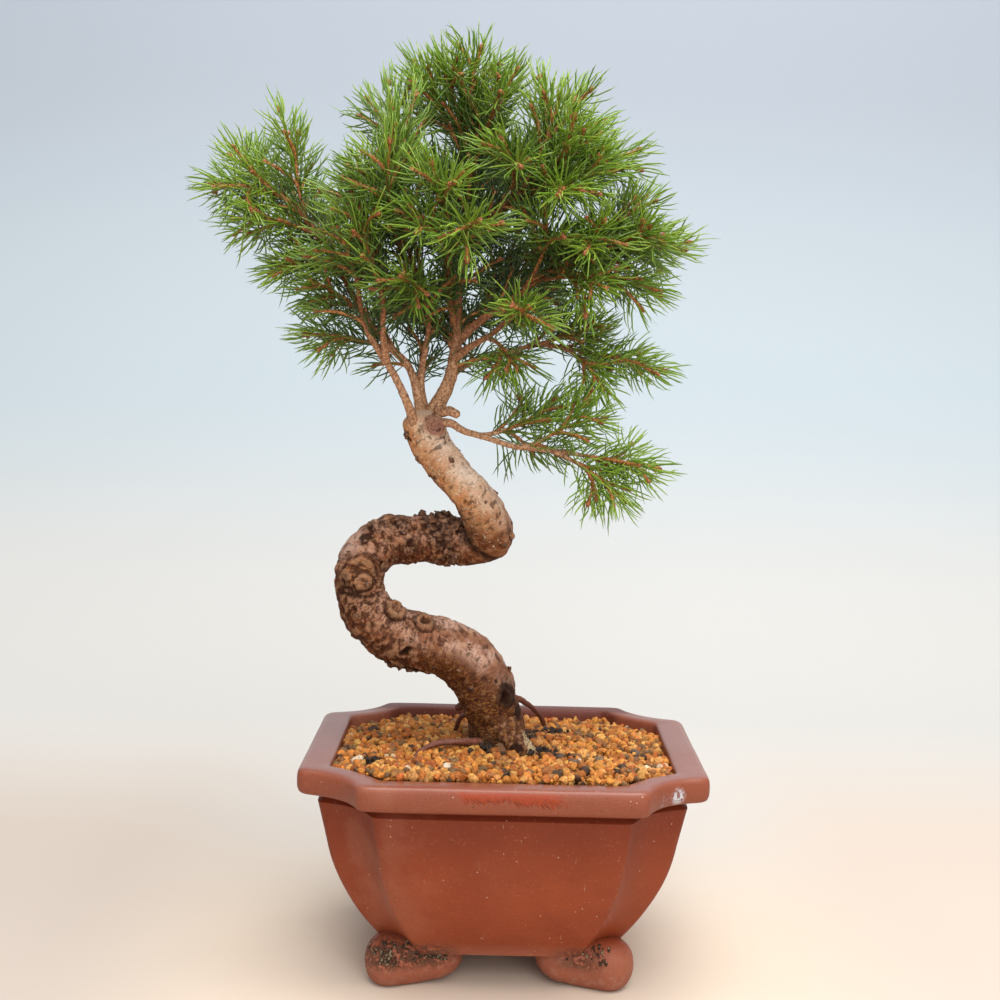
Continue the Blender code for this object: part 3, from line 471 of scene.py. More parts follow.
wet_soil, place, shader = new_finish("soil_bed", Roughness=0.9)
lumps = place.clouds(1.4, 4, 0.7)
place.feed(shader.inputs["Base Color"], lumps.between((0.035, 0.018, 0.008), (0.17, 0.08, 0.03)))
set_relief(place, shader, lumps, 0.8)
bed_loop = plan_outline(inner_half_width - bed_inset, inner_half_depth - bed_inset, inner_corner_curve)
bed_points = []
for ring in range(1, bed_rings + 1):
    for x, y in bed_loop * ring / bed_rings:
        lump = 0.45 * noise.noise(Vector((x, y, 0)) / 2.4)
        bed_points.append((x, y, float(soil_height(x, y)) - bed_depth + lump))
for level, half_x, half_y in bed_sides:
    bed_points += [(x, y, level) for x, y in plan_outline(half_x, half_y)]
bed_faces = [face[::-1] for face in ring_faces(bed_rings + len(bed_sides), len(bed_loop))]
make_piece("soil_bed", bed_points, bed_faces, wet_soil, "gravel", "soil")


# The gravel: crushed and sieved grains of 2 to 3 mm, mostly ochre, with tan, grey, white and dark
# ones among them, poured loose over the soil up to the trunk and roots.
# Share of the grains up to which each colour reaches.
grain_colours = (
    (0.30, (0.60, 0.220, 0.035)), (0.52, (0.43, 0.130, 0.019)), (0.72, (0.67, 0.315, 0.076)),
    (0.83, (0.35, 0.140, 0.036)), (0.915, (0.20, 0.100, 0.037)), (0.945, (0.080, 0.037, 0.016)),
    (0.955, (0.66, 0.48, 0.30)), (1.0, (0.40, 0.105, 0.018)),
)
# Two layers: name, cuts of each face of the blank grain, spacing, lift, share kept, and size.
gravel_layers = (("gravel_under", 0, 2.6, -0.9, 1.0, 1.1), ("gravel_top", 1, 3.05, 0.30, 0.86, 1.3))
row_spacing = 0.87
shift_most = 0.8
wall_gap = 0.6
large_share = 0.03
large_scale = 1.35
# Where the gravel is wet: place and reach.
damp_places = (
    (10.0, 16.0, 9.0), (20.0, 20.0, 6.0), (16.0, -16.0, 6.0), (-12.0, 14.0, 7.0), (-6.0, -9.0, 6.0),
    (2.0, -4.0, 18.0),
)
grain_cuts = 4
grain_edge = math.radians(38)


def ball(cuts):
    """Points and faces of a round blank for a grain: an icosahedron, its faces cut in four some times."""
    golden = (1 + 5 ** 0.5) / 2
    points = [
        (-1, golden, 0), (1, golden, 0), (-1, -golden, 0), (1, -golden, 0),
        (0, -1, golden), (0, 1, golden), (0, -1, -golden), (0, 1, -golden),
        (golden, 0, -1), (golden, 0, 1), (-golden, 0, -1), (-golden, 0, 1),
    ]
    faces = [
        (0, 11, 5), (0, 5, 1), (0, 1, 7), (0, 7, 10), (0, 10, 11), (1, 5, 9), (5, 11, 4), (11, 10, 2),
        (10, 7, 6), (7, 1, 8), (3, 9, 4), (3, 4, 2), (3, 2, 6), (3, 6, 8), (3, 8, 9), (4, 9, 5), (2, 4, 11),
        (6, 2, 10), (8, 6, 7), (9, 8, 1),
    ]
    points = [np.array(point, float) for point in points]
    for _ in range(cuts):
        middles = {}
        cut = []
        for face in faces:
            between = []
            for a, b in zip(face, face[1:] + face[:1]):
                key = (min(a, b), max(a, b))
                if key not in middles:
                    middles[key] = len(points)
                    points.append((points[a] + points[b]) / 2)
                between.append(middles[key])
            for corner in range(3):
                cut.append((face[corner], between[corner], between[corner - 1]))
            cut.append(tuple(between))
        faces = cut
    points = np.array(points)
    return points / np.linalg.norm(points, axis=1)[:, None], faces


def repeat_faces(faces, count, stride):
    """The same faces for many copies of a shape whose points follow each other."""
    return [tuple(corner + copy * stride for corner in face) for copy in range(count) for face in faces]


def turned(shapes, draw):
    """Each shape of a stack of point sets turned at random."""
    quarters = draw.normal(size=(len(shapes), 4))
    w, x, y, z = (quarters / np.linalg.norm(quarters, axis=1)[:, None]).T
    turn = np.array(((1 - 2 * (y * y + z * z), 2 * (x * y - w * z), 2 * (x * z + w * y)),
                     (2 * (x * y + w * z), 1 - 2 * (x * x + z * z), 2 * (y * z - w * x)),
                     (2 * (x * z - w * y), 2 * (y * z + w * x), 1 - 2 * (x * x + y * y))))
    return np.einsum("ijn,npj->npi", turn, shapes)


def grains(cuts, centres, sizes, draw):
    """Angular grains at the centres, each with its own proportions and turn."""
    blank, faces = ball(cuts)
    shapes = np.repeat(blank[None], len(centres), 0)
    for _ in range(grain_cuts):
        cut = draw.normal(size=(len(centres), 3))
        cut /= np.linalg.norm(cut, axis=1)[:, None]
        beyond = np.einsum("npj,nj->np", shapes, cut) - draw.uniform(0.5, 0.85, len(centres))[:, None]
        shapes -= np.maximum(beyond, 0)[:, :, None] * cut[:, None, :]
    shapes *= draw.uniform(0.72, 1.28, (len(centres), 1, 3)) * sizes[:, None, None]
    shapes += draw.normal(0, 0.05, shapes.shape) * sizes[:, None, None]
    points = turned(shapes, draw) + centres[:, None, :]
    return points.reshape(-1, 3), repeat_faces(faces, len(centres), len(blank))


def set_marks(thing, name, values):
    """Keep three numbers at every point of a piece, for its finish to read."""
    marks = thing.data.attributes.new(name, "FLOAT_COLOR", "POINT")
    marks.data.foreach_set("color", np.column_stack([values, np.ones(len(values))]).ravel())


def marked(place, name, output="Color"):
    """What a piece keeps at its points under a name, as one field."""
    return place.node("ShaderNodeAttribute", {"attribute_name": name}, None, output)


def read_marks(place, name):
    """The three numbers that set_marks keeps, as three fields."""
    parts = place.node("ShaderNodeSeparateColor", None, {0: marked(place, name)})
    return [Field(place.tree, output) for output in parts.socket.node.outputs]


def away_from(x, y, start, end):
    """How far points of a plan lie from a stretch of line."""
    start, span = np.array(start), np.array(end) - start
    share = np.clip(((x - start[0]) * span[0] + (y - start[1]) * span[1]) / (span @ span), 0, 1)
    return np.hypot(x - start[0] - share * span[0], y - start[1] - share * span[1])


def trunk_gap(x, y):
    """How far a point of the soil's surface lies from the foot of the trunk and its two toes."""
    gap = np.hypot(x - trunk_foot[0], y - trunk_foot[1]) - trunk_foot_radius
    for start, end in toe_lines:
        gap = np.minimum(gap, away_from(x, y, start, end) - toe_half_width)
    return gap


stone, place, shader = new_finish("gravel_grain", Roughness=0.7, Specular_IOR_Level=0.35)
tint = marked(place, "grain")
mottle = place.clouds(0.9, 4, 0.65)
place.feed(shader.inputs["Base Color"], mottle.rise(0.3, 0.7).between(tint * 0.5, tint * 1.2))
set_relief(place, shader, mottle, 0.25)
draw = np.random.default_rng(5)
top_loop = plan_outline(inner_half_width - wall_gap, inner_half_depth - wall_gap, inner_corner_curve)
colour_limits = [limit for limit, _ in grain_colours]
colour_tints = np.array([tint for _, tint in grain_colours])
for name, cuts, spacing, lift, kept_share, scale in gravel_layers:
    columns = np.arange(-inner_half_width, inner_half_width, spacing)
    rows = np.arange(-inner_half_depth, inner_half_depth, spacing * row_spacing)
    x, y = np.meshgrid(columns, rows)
    x = x + spacing / 2 * (np.arange(len(rows)) % 2)[:, None]
    x = x.ravel() + draw.uniform(-shift_most, shift_most, x.size)
    y = y.ravel() + draw.uniform(-shift_most, shift_most, y.size)
    held = inside_outline(x, y, top_loop) & (trunk_gap(x, y) > 0) & (draw.random(x.size) < kept_share)
    x, y = x[held], y[held]
    sizes = draw.uniform(0.92, 1.5, len(x)) * scale
    sizes[draw.random(len(x)) < large_share] *= large_scale
    level = soil_height(x, y) + lift + draw.uniform(-0.35, 0.45, len(x))
    points, faces = grains(cuts, np.column_stack([x, y, level]), sizes, draw)
    tints = colour_tints[np.searchsorted(colour_limits, draw.random(len(x)))]
    tints = tints * draw.uniform(0.78, 1.2, (len(x), 1)) * draw.uniform(0.93, 1.07, (len(x), 3))
    damp = np.zeros(len(x))
    for damp_x, damp_y, reach in damp_places:
        damp = np.maximum(damp, np.clip(1.3 - np.hypot(x - damp_x, y - damp_y) / reach, 0, 1))
    tints *= (1 - 0.75 * damp * draw.uniform(0.3, 1.0, len(x)))[:, None]
    gravel = make_piece(name, points, faces, stone, "gravel", "soil")
    gravel.data.set_sharp_from_angle(angle=grain_edge)
    set_marks(gravel, "grain", np.repeat(tints, len(points) // len(x), 0))


# The humus and stones: black bits of humus and torn bark and a few single stones among the gravel,
# wet and dark beside the trunk. They were left when the tree was watered and weeded.
# Where the bits lie thickest: place, reach and how many.
humus_places = (
    (9.5, 12.0, 4.4, 110), (19.0, 20.0, 4.6, 80), (15.5, -15.0, 4.4, 110), (-6.5, -9.5, 3.4, 70),
    (-49.0, -32.0, 2.2, 36), (0.5, -54.0, 1.6, 10), (42.0, -45.0, 1.8, 12),
)
humus_dark = (0.022, 0.011, 0.006)
humus_edge = math.radians(30)
# Place, size and colour of single stones.
stones = (
    ((37.0, -25.0), 2.7, (0.22, 0.15, 0.09)), ((27.0, -30.0), 2.2, (0.16, 0.10, 0.06)),
    ((22.0, -22.0), 2.1, (0.10, 0.06, 0.04)), ((-56.0, -27.0), 2.2, (0.66, 0.50, 0.34)),
    ((-21.0, -43.0), 2.0, (0.70, 0.56, 0.42)), ((52.0, -8.0), 2.2, (0.15, 0.10, 0.07)),
    ((45.0, -36.0), 2.0, (0.07, 0.045, 0.03)), ((-33.0, -34.0), 2.2, (0.13, 0.06, 0.04)),
)
stone_lift = 0.9
humus, place, shader = new_finish("humus", Roughness=0.7, Specular_IOR_Level=0.3)
tint = marked(place, "grain")
place.feed(shader.inputs["Base Color"], place.clouds(0.7, 3).rise(0.35, 0.7).between(tint * 0.6, tint * 1.3))
draw = np.random.default_rng(77)
bits = []
for x, y, reach, count in humus_places:
    spread = draw.normal(size=(count, 2)) * reach * 0.6 + (x, y)
    spread = spread[trunk_gap(spread[:, 0], spread[:, 1]) > -1.0]
    level = soil_height(spread[:, 0], spread[:, 1]) + draw.uniform(0.2, 1.9, len(spread))
    bits.append(np.column_stack([spread, level]))
bits = np.vstack(bits)
points, faces = grains(0, bits, draw.uniform(0.45, 1.3, len(bits)) ** 1.3, draw)
tints = np.array(humus_dark) * draw.uniform(0.4, 2.4, (len(bits), 1))
humus_bits = make_piece("humus_bits", points, faces, humus, "gravel", "soil")
humus_bits.data.set_sharp_from_angle(angle=humus_edge)
set_marks(humus_bits, "grain", np.repeat(tints, len(points) // len(bits), 0))

centres = np.array([(x, y, float(soil_height(x, y)) + stone_lift) for (x, y), _, _ in stones])
points, faces = grains(2, centres, np.array([size for _, size, _ in stones]), draw)
single_stones = make_piece("single_stones", points, faces, stone, "gravel", "soil")
tints = np.array([tint for _, _, tint in stones])
set_marks(single_stones, "grain", np.repeat(tints, len(points) // len(stones), 0))


# The crumbs on the feet: soil that fell on the tops of the two front feet when the pot was filled
# and stuck there. Each crumb is dropped on the pot's own surface from the front.
# Where they lie: across from, across to, lowest, highest, and how many are tried.
crumb_places = ((-57.0, -20.0, 7.0, 18.6, 1100), (25.0, 42.0, 9.0, 18.6, 300))
crumb_front = -80.0
# They keep to slopes at least this level and, in clumps, to where a noise is over this much.
crumb_slope = 0.1
crumb_clump = 0.06
crumb_lift = 0.2
dark_share = 0.75
dark_crumb = (0.050, 0.028, 0.014)
pale_crumb = (0.26, 0.19, 0.11)
crumb_spots = []
for start, end, lowest, highest, tries in crumb_places:
    for x, z in draw.uniform((start, lowest), (end, highest), (tries, 2)):
        eye = Vector((x, crumb_front, z)) * 0.001 + Vector((pot_middle.x, pot_middle.y, 0))
        hit, spot, normal, _ = pot.ray_cast(eye, (0, 1, 0))
        clump = noise.noise(Vector((x, 0, z)) / 4.5) + 0.5 * noise.noise(Vector((x, 0, z)) / 1.6)
        if hit and normal.z > crumb_slope and clump > crumb_clump:
            spot = (spot - Vector((pot_middle.x, pot_middle.y, 0))) * 1000
            crumb_spots.append(spot + normal * crumb_lift)
crumb_spots = np.array(crumb_spots)
points, faces = grains(0, crumb_spots, draw.uniform(0.22, 0.6, len(crumb_spots)), draw)
tints = np.where(draw.random((len(crumb_spots), 1)) < dark_share, dark_crumb, pale_crumb)
foot_crumbs = make_piece("foot_crumbs", points, faces, humus, "gravel", "pot")
set_marks(foot_crumbs, "grain", np.repeat(tints, len(points) // len(crumb_spots), 0))


# The trunk: old wood that was coiled when young, under a thin flaking bark. Its colour is painted pale
# and pinkish on the side that faces the light and orange-brown beneath, as lit and shaded bark; it is
# dark and lumpy where it was bent hardest, and has the knots of limbs cut off long ago. It stands in
# the soil on a flared foot.
# Its middle line from the soil to the fork: across, deep, up and radius.
trunk_line = (
    (1, 2, 68, 12), (-1, 3, 76, 13), (-2, 3, 87, 11.5), (-4, 2, 97, 10.8), (-7, 0, 107, 11.3),
    (-13, -1, 117, 12), (-22, -3, 124, 11.6), (-33, -5, 127, 11.2), (-44, -7, 130, 11.2),
    (-53, -8, 137, 10.2), (-58, -8, 148, 9.4), (-56, -6, 160, 9.8), (-47, -2, 167, 9.9),
    (-36, 2, 167.5, 9.3), (-25, 6, 166.5, 9.9), (-14, 7, 166, 9.6), (-7, 3, 168.5, 9.4),
    (-11, -5, 181, 8.4), (-20, -6, 192, 7.4), (-31, -3, 205, 8.0), (-34, -1, 212, 8.2),
    (-34, 1, 219, 6.2),
)
# Swells that stand out of the tube: middle and half sizes.
trunk_swells = (
    (-60, -13, 153, 5.0, 4.0, 6.0), (-26, 4, 175, 6.0, 5.0, 2.6), (1.5, -9, 84, 6.5, 5.5, 6.0),
    (-37, -9, 121, 5.4, 4.0, 4.0), (-34, -1, 214, 8.4, 7.4, 6.4),
)
top_scar = (-29.0, -8.1, 213.1)
# Knots: place, radius, height of the swell, depth of the dish in its middle.
knots = (
    ((-43.3, -12.6, 140.7), 4.4, 1.9, 0.3), ((-31.6, -11.6, 136.1), 3.9, 1.9, 0.8),
    ((-57.3, -16.5, 155.8), 6.6, 1.1, 0.0), ((-55.4, -16.8, 152.0), 3.6, 0.9, 0.0),
    ((-61.7, -16.1, 154.2), 2.3, 0.8, 0.5), ((-58.8, -17.5, 141.7), 2.1, 0.3, 0.6),
    ((-39.7, -17.0, 124.5), 2.6, 0.5, 1.5), ((-49.8, -17.0, 127.2), 1.8, 0.7, 0.3),
    ((-25.5, -14.1, 130.7), 1.1, 0.1, 1.0), ((0.3, -8.6, 107.0), 4.0, 0.3, 3.2),
    ((-3.6, -10.4, 113.4), 1.8, 0.2, 0.6), (top_scar, 5.0, 0.6, 0.2),
    ((-9.0, -13.1, 184.2), 1.7, 0.25, 0.5), ((-4.6, -10.5, 181.4), 1.7, 0.8, 0.2),
    ((-25.6, -10.8, 190.1), 1.0, 0.3, 0.3), ((-16.7, -12.4, 181.1), 1.0, 0.2, 0.4),
    ((-15.2, -13.5, 189.7), 1.0, 0.3, 0.2), ((-13.0, -14.0, 184.9), 1.0, 0.2, 0.4),
    ((-38.4, -17.0, 125.6), 3.0, 0.3, 1.6), ((-37.1, -17.0, 126.6), 2.5, 0.1, 1.3),
    ((-44.1, -12.1, 119.5), 4.2, 1.2, 0.0), ((-53.6, -6.8, 174.1), 3.0, 0.8, 0.0),
    ((-48.7, -3.8, 176.6), 3.0, 0.9, 0.0), ((1.8, -2.0, 170.0), 1.8, 1.2, 0.0),
)
# How many of the first knots are healed over with ringed bark.
healed_knots = 5
# Creases: points along them, half width, depth, and the darkness of the painted shade in them.
creases = (
    (((-65.7, -13.5, 148.3), (-60.8, -17, 147.6), (-57.3, -17.5, 146.8), (-52.6, -16.3, 146.8),
      (-48.6, -11.1, 147.6)), 0.9, 1.0, 1.0),
    (((-62, -16, 151.4), (-57, -17.5, 150.6), (-52.5, -15.5, 151.3)), 0.5, 0.45, 0.5),
    (((-62.5, -14.5, 157.3), (-58, -16.5, 156.5), (-53.5, -14.5, 157.3)), 0.5, 0.4, 0.5),
    (((-18.5, -1.1, 171.6), (-14.7, -2.6, 165.8), (-10.6, -3.4, 162.4), (-6, -2.1, 160.4)), 1.4, 1.0, 1.0),
    (((-40, -16, 131.5), (-36, -17, 130.2), (-33, -16.5, 126.5)), 0.5, 0.5, 0.6),
    (((-40.5, -6, 205), (-38, -9.5, 202.3), (-34, -11, 201.6), (-29.5, -10.5, 204.2)), 1.7, 0.5, 0.0),
    (((-35.8, -6, 216), (-35.6, -9.5, 210), (-36.4, -10.2, 206), (-38.5, -9.5, 203)), 1.2, 0.7, 0.1),
    (((-24.5, -6, 212), (-24.8, -8.5, 207.5), (-27.5, -10.5, 204.8)), 1.0, 0.7, 0.2),
)
# Where the bark is crumbly: place and reach.
rough_places = (
    ((-26.6, 4.8, 176.5), 6.0), ((-28.0, -4.1, 171.2), 5.0), ((-25.1, -4.2, 166.3), 5.0),
    ((-22.8, -2.6, 162.1), 4.5), ((-31.3, -2.1, 174.9), 5.0), ((-21.2, -0.7, 173.0), 5.0),
    ((-42.4, -6.6, 173.4), 5.0), ((-53.6, -8.8, 173.1), 3.5), ((-38.5, -8.0, 166.0), 4.0),
    ((-44.1, -12.1, 119.0), 5.0), ((-37.0, -9.0, 117.5), 4.0), ((-47.0, -12.0, 158.0), 3.5),
    ((-41.0, -5.0, 208.0), 3.6), ((-36.5, -6.0, 199.0), 2.4), ((-33.0, -9.0, 194.5), 1.8),
    ((-27.5, -10.0, 187.0), 1.8), ((-62.0, -16.0, 150.0), 4.0),
)
# Dark stains on sound bark: place and reach.
stains = (
    ((-55.7, -12.1, 169.3), 3.2), ((1.5, -8.0, 107.5), 6.4), ((6.0, -3.0, 100.0), 4.0),
    ((1.0, -16.0, 84.5), 4.0), ((-12.0, -9.0, 85.0), 4.0), ((-52.0, -13.0, 176.0), 3.0),
    ((-47.0, -8.0, 171.0), 2.6), ((-6.0, -6.0, 119.0), 2.4),
)
# Where old bark has come away and left the skin smooth and pale.
smooth_place = (-61.5, -9.6, 167.0)
# The stretch above this bend is the youngest and palest.
last_bend_place = (-7.0, 3.0, 168.5)
wet_hollow = (1.0, -9.0, 107.0)
golden_place = (-20.0, -13.0, 122.0)
# Bark that faces this way is painted lighter, as lit, and bark turned away from it darker, as shaded.
painted_light_way = (0.25, -0.35, 0.9)
swell_reach = 17.0
trunk_around = 132
trunk_spacing = 0.62
trunk_softening = 6
# The trunk's two ends are hidden. The top one closes over this length.
end_length = 7.0


def unit(vector):
    """A direction of length one."""
    return vector / np.linalg.norm(vector)


def side_vectors(path):
    """Two directions across the path at each point, carried along it without twist."""
    along = np.gradient(path[:, :3], axis=0)
    along /= np.linalg.norm(along, axis=1)[:, None]
    first = np.cross(along[0], (0.0, 0.3, 1.0))
    if np.linalg.norm(first) < 0.2:
        first = np.cross(along[0], (1.0, 0.0, 0.0))
    across = [unit(first)]
    for direction in along[1:]:
        across.append(unit(across[-1] - np.dot(across[-1], direction) * direction))
    across = np.array(across)
    return along, across, np.cross(along, across)


def tube_rings(path, around):
    """Outward directions and surface points of a round tube along a path with radii."""
    along, across, upward = side_vectors(path)
    turn = np.linspace(0, math.tau, around, endpoint=False)
    out = np.cos(turn)[None, :, None] * across[:, None] + np.sin(turn)[None, :, None] * upward[:, None]
    return out, path[:, None, :3] + out * path[:, None, 3:4]


def step_up(value, start, end):
    """0 at start, 1 at end and a smooth step between, for numbers."""
    share = np.clip((value - start) / (end - start), 0, 1)
    return share * share * (3 - 2 * share)


def lengths_along(path):
    """How far along a path each of its points lies."""
    steps = np.linalg.norm(np.diff(path[:, :3], axis=0), axis=1)
    return np.concatenate([[0], np.cumsum(steps)])


def swollen(centres, out, reach, swells):
    """How far from the path the skin lies once it also wraps the swells, each an ellipsoid."""
    for x, y, z, wide, deep, tall in swells:
        size = np.array((wide, deep, tall))
        start = (centres - (x, y, z))[:, None, :] / size
        way = out / size
        square = (way * way).sum(2)
        half = (start * way).sum(2)
        inside = half * half - square * ((start * start).sum(2) - 1)
        far = np.where(inside > 0, (-half + np.sqrt(np.maximum(inside, 0))) / square, 0.0)
        far = np.where(np.linalg.norm(centres - (x, y, z), axis=1)[:, None] < swell_reach, far, 0.0)
        reach = np.where(far > 0, 0.5 * (reach + far + np.sqrt((reach - far) ** 2 + 1.0)) - 0.1, reach)
    return reach


def blurred(values, times):
    """Values over the rings of a tube, each averaged with its neighbours."""
    for _ in range(times):
        values = (np.roll(values, 1, 1) + 2 * values + np.roll(values, -1, 1)) / 4
        values[1:-1] = (values[:-2] + 2 * values[1:-1] + values[2:]) / 4
    return values


def mark_bark(thing, path, out, height, darkness, rugged, healed, creased):
    """Keep what the bark's finish reads: hollows, how far it faces the painted light, stains and painted shade,
    rugged and healed bark and creases, and the run of the fibre.
    """
    set_marks(thing, "wear_and_crease_shade", np.column_stack([rugged.ravel(), healed.ravel(), creased.ravel()]))
    # How far each point lies below its smoothed neighbours, for the painted shade in hollows and the painted
    # highlight on ridges.
    hollow = np.clip(0.5 + (height - blurred(height, 6)) / 0.6, 0, 1)
    facing_painted_light = np.clip(0.5 + 0.5 * (out @ unit(np.array(painted_light_way))), 0, 1)
    set_marks(thing, "bark", np.column_stack([hollow.ravel(), facing_painted_light.ravel(), darkness.ravel()]))
    turn = np.linspace(0, math.tau, out.shape[1], endpoint=False)
    fibre = np.zeros(out.shape)
    fibre[:, :, 0] = lengths_along(path)[:, None]
    fibre[:, :, 1] = path[:, 3:4] * np.cos(turn)
    fibre[:, :, 2] = path[:, 3:4] * np.sin(turn)
    thing.data.attributes.new("fibre", "FLOAT_VECTOR", "POINT").data.foreach_set("vector", fibre.ravel())


trunk_path = smooth_path(trunk_line, 8.0)
distances = lengths_along(trunk_path)
even = np.arange(0, distances[-1], trunk_spacing)
trunk_path = np.column_stack([np.interp(even, distances, trunk_path[:, part]) for part in range(4)])
for _ in range(trunk_softening):
    trunk_path[1:-1] = (trunk_path[:-2] + 2 * trunk_path[1:-1] + trunk_path[2:]) / 4
out, points = tube_rings(trunk_path, trunk_around)
# What the noises give at each point: how far the skin stands out, and its lumps, nodules and plates.
swell = np.zeros(points.shape[:2])
coarse = np.zeros_like(swell)
nodules = np.zeros_like(swell)
plates = np.zeros_like(swell)
for ring, (row, ways) in enumerate(zip(points, out)):
    radius = trunk_path[ring, 3]
    middle = Vector(trunk_path[ring, :3]) * 0.11
    for side in range(trunk_around):
        skin = Vector(row[side])
        way = Vector(ways[side])
        share = 0.10 * noise.noise(middle + way * 1.6) + 0.05 * noise.noise(middle * 2.7 + way * 3.0)
        gaps, cells = noise.voronoi(skin / 3.6 + 0.5 * noise.noise_vector(skin / 2.2))
        crack = 1 - min(1.0, (gaps[1] - gaps[0]) / 0.15)
        flaky = max(0.0, min(1.0, 2.4 * noise.noise(skin / 8.0) + 0.3))
        plates[ring, side] = flaky * (0.55 * noise.cell(cells[0] * 7.0) - 0.30 * crack)
        crumbs = noise.voronoi(skin / 2.3 + 0.3 * noise.noise_vector(skin / 1.3))[0][0]
        nodules[ring, side] = 1 - min(1.0, crumbs / 0.7) ** 2
        coarse[ring, side] = noise.noise(skin / 2.3) + 0.6 * noise.noise(skin / 1.1)
        ridged = Vector((even[ring] / 0.95, way.x * 2.4, way.z * 2.4 + way.y * 2.4))
        fine = 0.16 * noise.noise(ridged) + 0.20 * noise.noise(skin / 1.5)
        swell[ring, side] = radius * share + 0.45 * noise.noise(skin / 6.5) + fine

# The bark is rugged on the outside of the lower bends, and sound elsewhere.
rugged = step_up(-points[:, :, 0], 8.0, 22.0) * (1 - step_up(points[:, :, 2], 178.0, 186.0))
rugged = rugged * (1 - 0.6 * step_up(points[:, :, 0], -42.0, -30.0) * (points[:, :, 2] < 145.0))
smooth_spot = 1 - step_up(np.linalg.norm(points - np.array(smooth_place), axis=2), 4.0, 9.0)
rugged = rugged * (1 - 0.85 * smooth_spot)
swell += plates * (0.12 + 0.88 * rugged) + 0.42 * rugged * coarse
rough = np.zeros_like(swell)
for spot, size in rough_places:
    rough = np.maximum(rough, 1 - step_up(np.linalg.norm(points - np.array(spot), axis=2), 0.5 * size, size))
stained = np.zeros_like(swell)
for spot, size in stains:
    gap = np.linalg.norm(points - np.array(spot), axis=2) + 1.6 * coarse
    stained = np.maximum(stained, 1 - step_up(gap, 0.7 * size, 0.95 * size))
reach = swollen(trunk_path[:, :3], out, trunk_path[:, 3:4] + swell, trunk_swells)
reach = reach + rough * (1.5 * nodules - 0.75 + 0.8 * coarse)
rise = np.zeros_like(swell)
dish = np.zeros_like(swell)
healed = np.zeros_like(swell)
creased = np.zeros_like(swell)
spots = trunk_path[:, None, :3] + out * reach[:, :, None]
for index, (spot, size, height, depth) in enumerate(knots):
    away = np.linalg.norm(spots - np.array(spot), axis=2)
    spot = spots[np.unravel_index(np.argmin(away), away.shape)]
    gap = np.linalg.norm(spots - spot, axis=2) / size + (0.13 + 0.1 / size) * coarse
    rings = 0.10 * np.cos(gap * size * 4.6) * (1 - step_up(gap, 0.7, 0.95)) * (size > 3)
    rise += height * (1 - step_up(gap, 0.78, 1.06)) - depth * (1 - step_up(gap, 0.3, 0.7)) + rings
    below = step_up(spot[2] - spots[:, :, 2], -0.6 * size, 0.9 * size)
    edge = np.clip(0.1 + 0.8 * below + 1.2 * coarse, 0, 1) * np.exp(-((gap - 1.1) / 0.09) ** 2)
    rise -= 0.6 * edge * min(1, height)
    # The knot's dish and the crease round its edge are darkened as painted shade.
    dish = np.maximum(dish, (1 - step_up(gap, 0.25, 0.6)) * min(1, depth * 0.75))
    dish = np.maximum(dish, 0.85 * edge * min(1, height))
    if index < healed_knots:
        healed = np.maximum(healed, 1 - step_up(gap, 0.8, 1.1))
for line, half_width, depth, tone in creases:
    away = np.full(swell.shape, np.inf)
    for spot in smooth_path(line, 0.5):
        away = np.minimum(away, np.linalg.norm(spots - spot, axis=2))
    away = away + 0.35 * half_width * coarse
    fold = np.exp(-(away / half_width) ** 2)
    rise -= depth * fold
    creased = np.maximum(creased, tone * fold)
end_gap = (even[-1] - even) / end_length
closing = np.sqrt(np.clip(1 - (1 - np.minimum(end_gap, 1)) ** 2, 0.02, 1))
reach = (reach + rise) * closing[:, None]
points = trunk_path[:, None, :3] + out * reach[:, :, None]

bark, place, shader = new_finish("trunk_bark", Specular_IOR_Level=0.12)
# hollow is the relief's hollows, above how far the bark faces the painted light, and dark its stains and
# painted shade.
hollow, above, dark = read_marks(place, "bark")
rugged_bark, healed_bark, crease = read_marks(place, "wear_and_crease_shade")
fibre = marked(place, "fibre", "Vector")
ground = place.axis("Z")
pale = place.clouds(9.0, 4, 0.6).rise(0.40, 0.62)
grit = place.clouds(0.5, 3, 0.7)
wrinkle = (fibre * (1.0, 0.2, 0.2)).clouds(0.8, 3, 0.6)
flecks = (fibre * (1.0, 0.5, 0.5)).clouds(0.62, 3, 0.65)
last_bend = even[np.argmin(np.linalg.norm(trunk_path[:, :3] - last_bend_place, axis=1))]
along = fibre.axis("X")
high_up = along.rise(last_bend - 2.0, last_bend + 24.0)
specks = place.clouds(1.4, 2, 0.55).rise(0.63, 0.69) * along.rise(last_bend - 4.0, last_bend + 4.0)
# Lit and shaded copies of the bark, mixed by how far it faces the light: painted light and shade.
lit_side = high_up.between(pale.between((0.37, 0.155, 0.090), (0.72, 0.45, 0.340)),
                           pale.between((0.76, 0.48, 0.32), (0.90, 0.68, 0.52)))
shade_side = high_up.between(pale.between((0.135, 0.032, 0.009), (0.235, 0.068, 0.020)),
                             pale.between((0.62, 0.245, 0.088), (0.80, 0.44, 0.205)))
smooth_patch = place.near(smooth_place, 6.0, 4.0) * place.clouds(3.0, 3, 0.6).rise(0.34, 0.44)
scab = place.clouds(3.0, 6, 0.72).rise(0.47, 0.58) * (rugged_bark * 0.85 + 0.04) * (1 - smooth_patch * 0.9)
reddish = (place * 0.8).clouds(1.0, 2, 0.5).rise(0.66, 0.72) * high_up
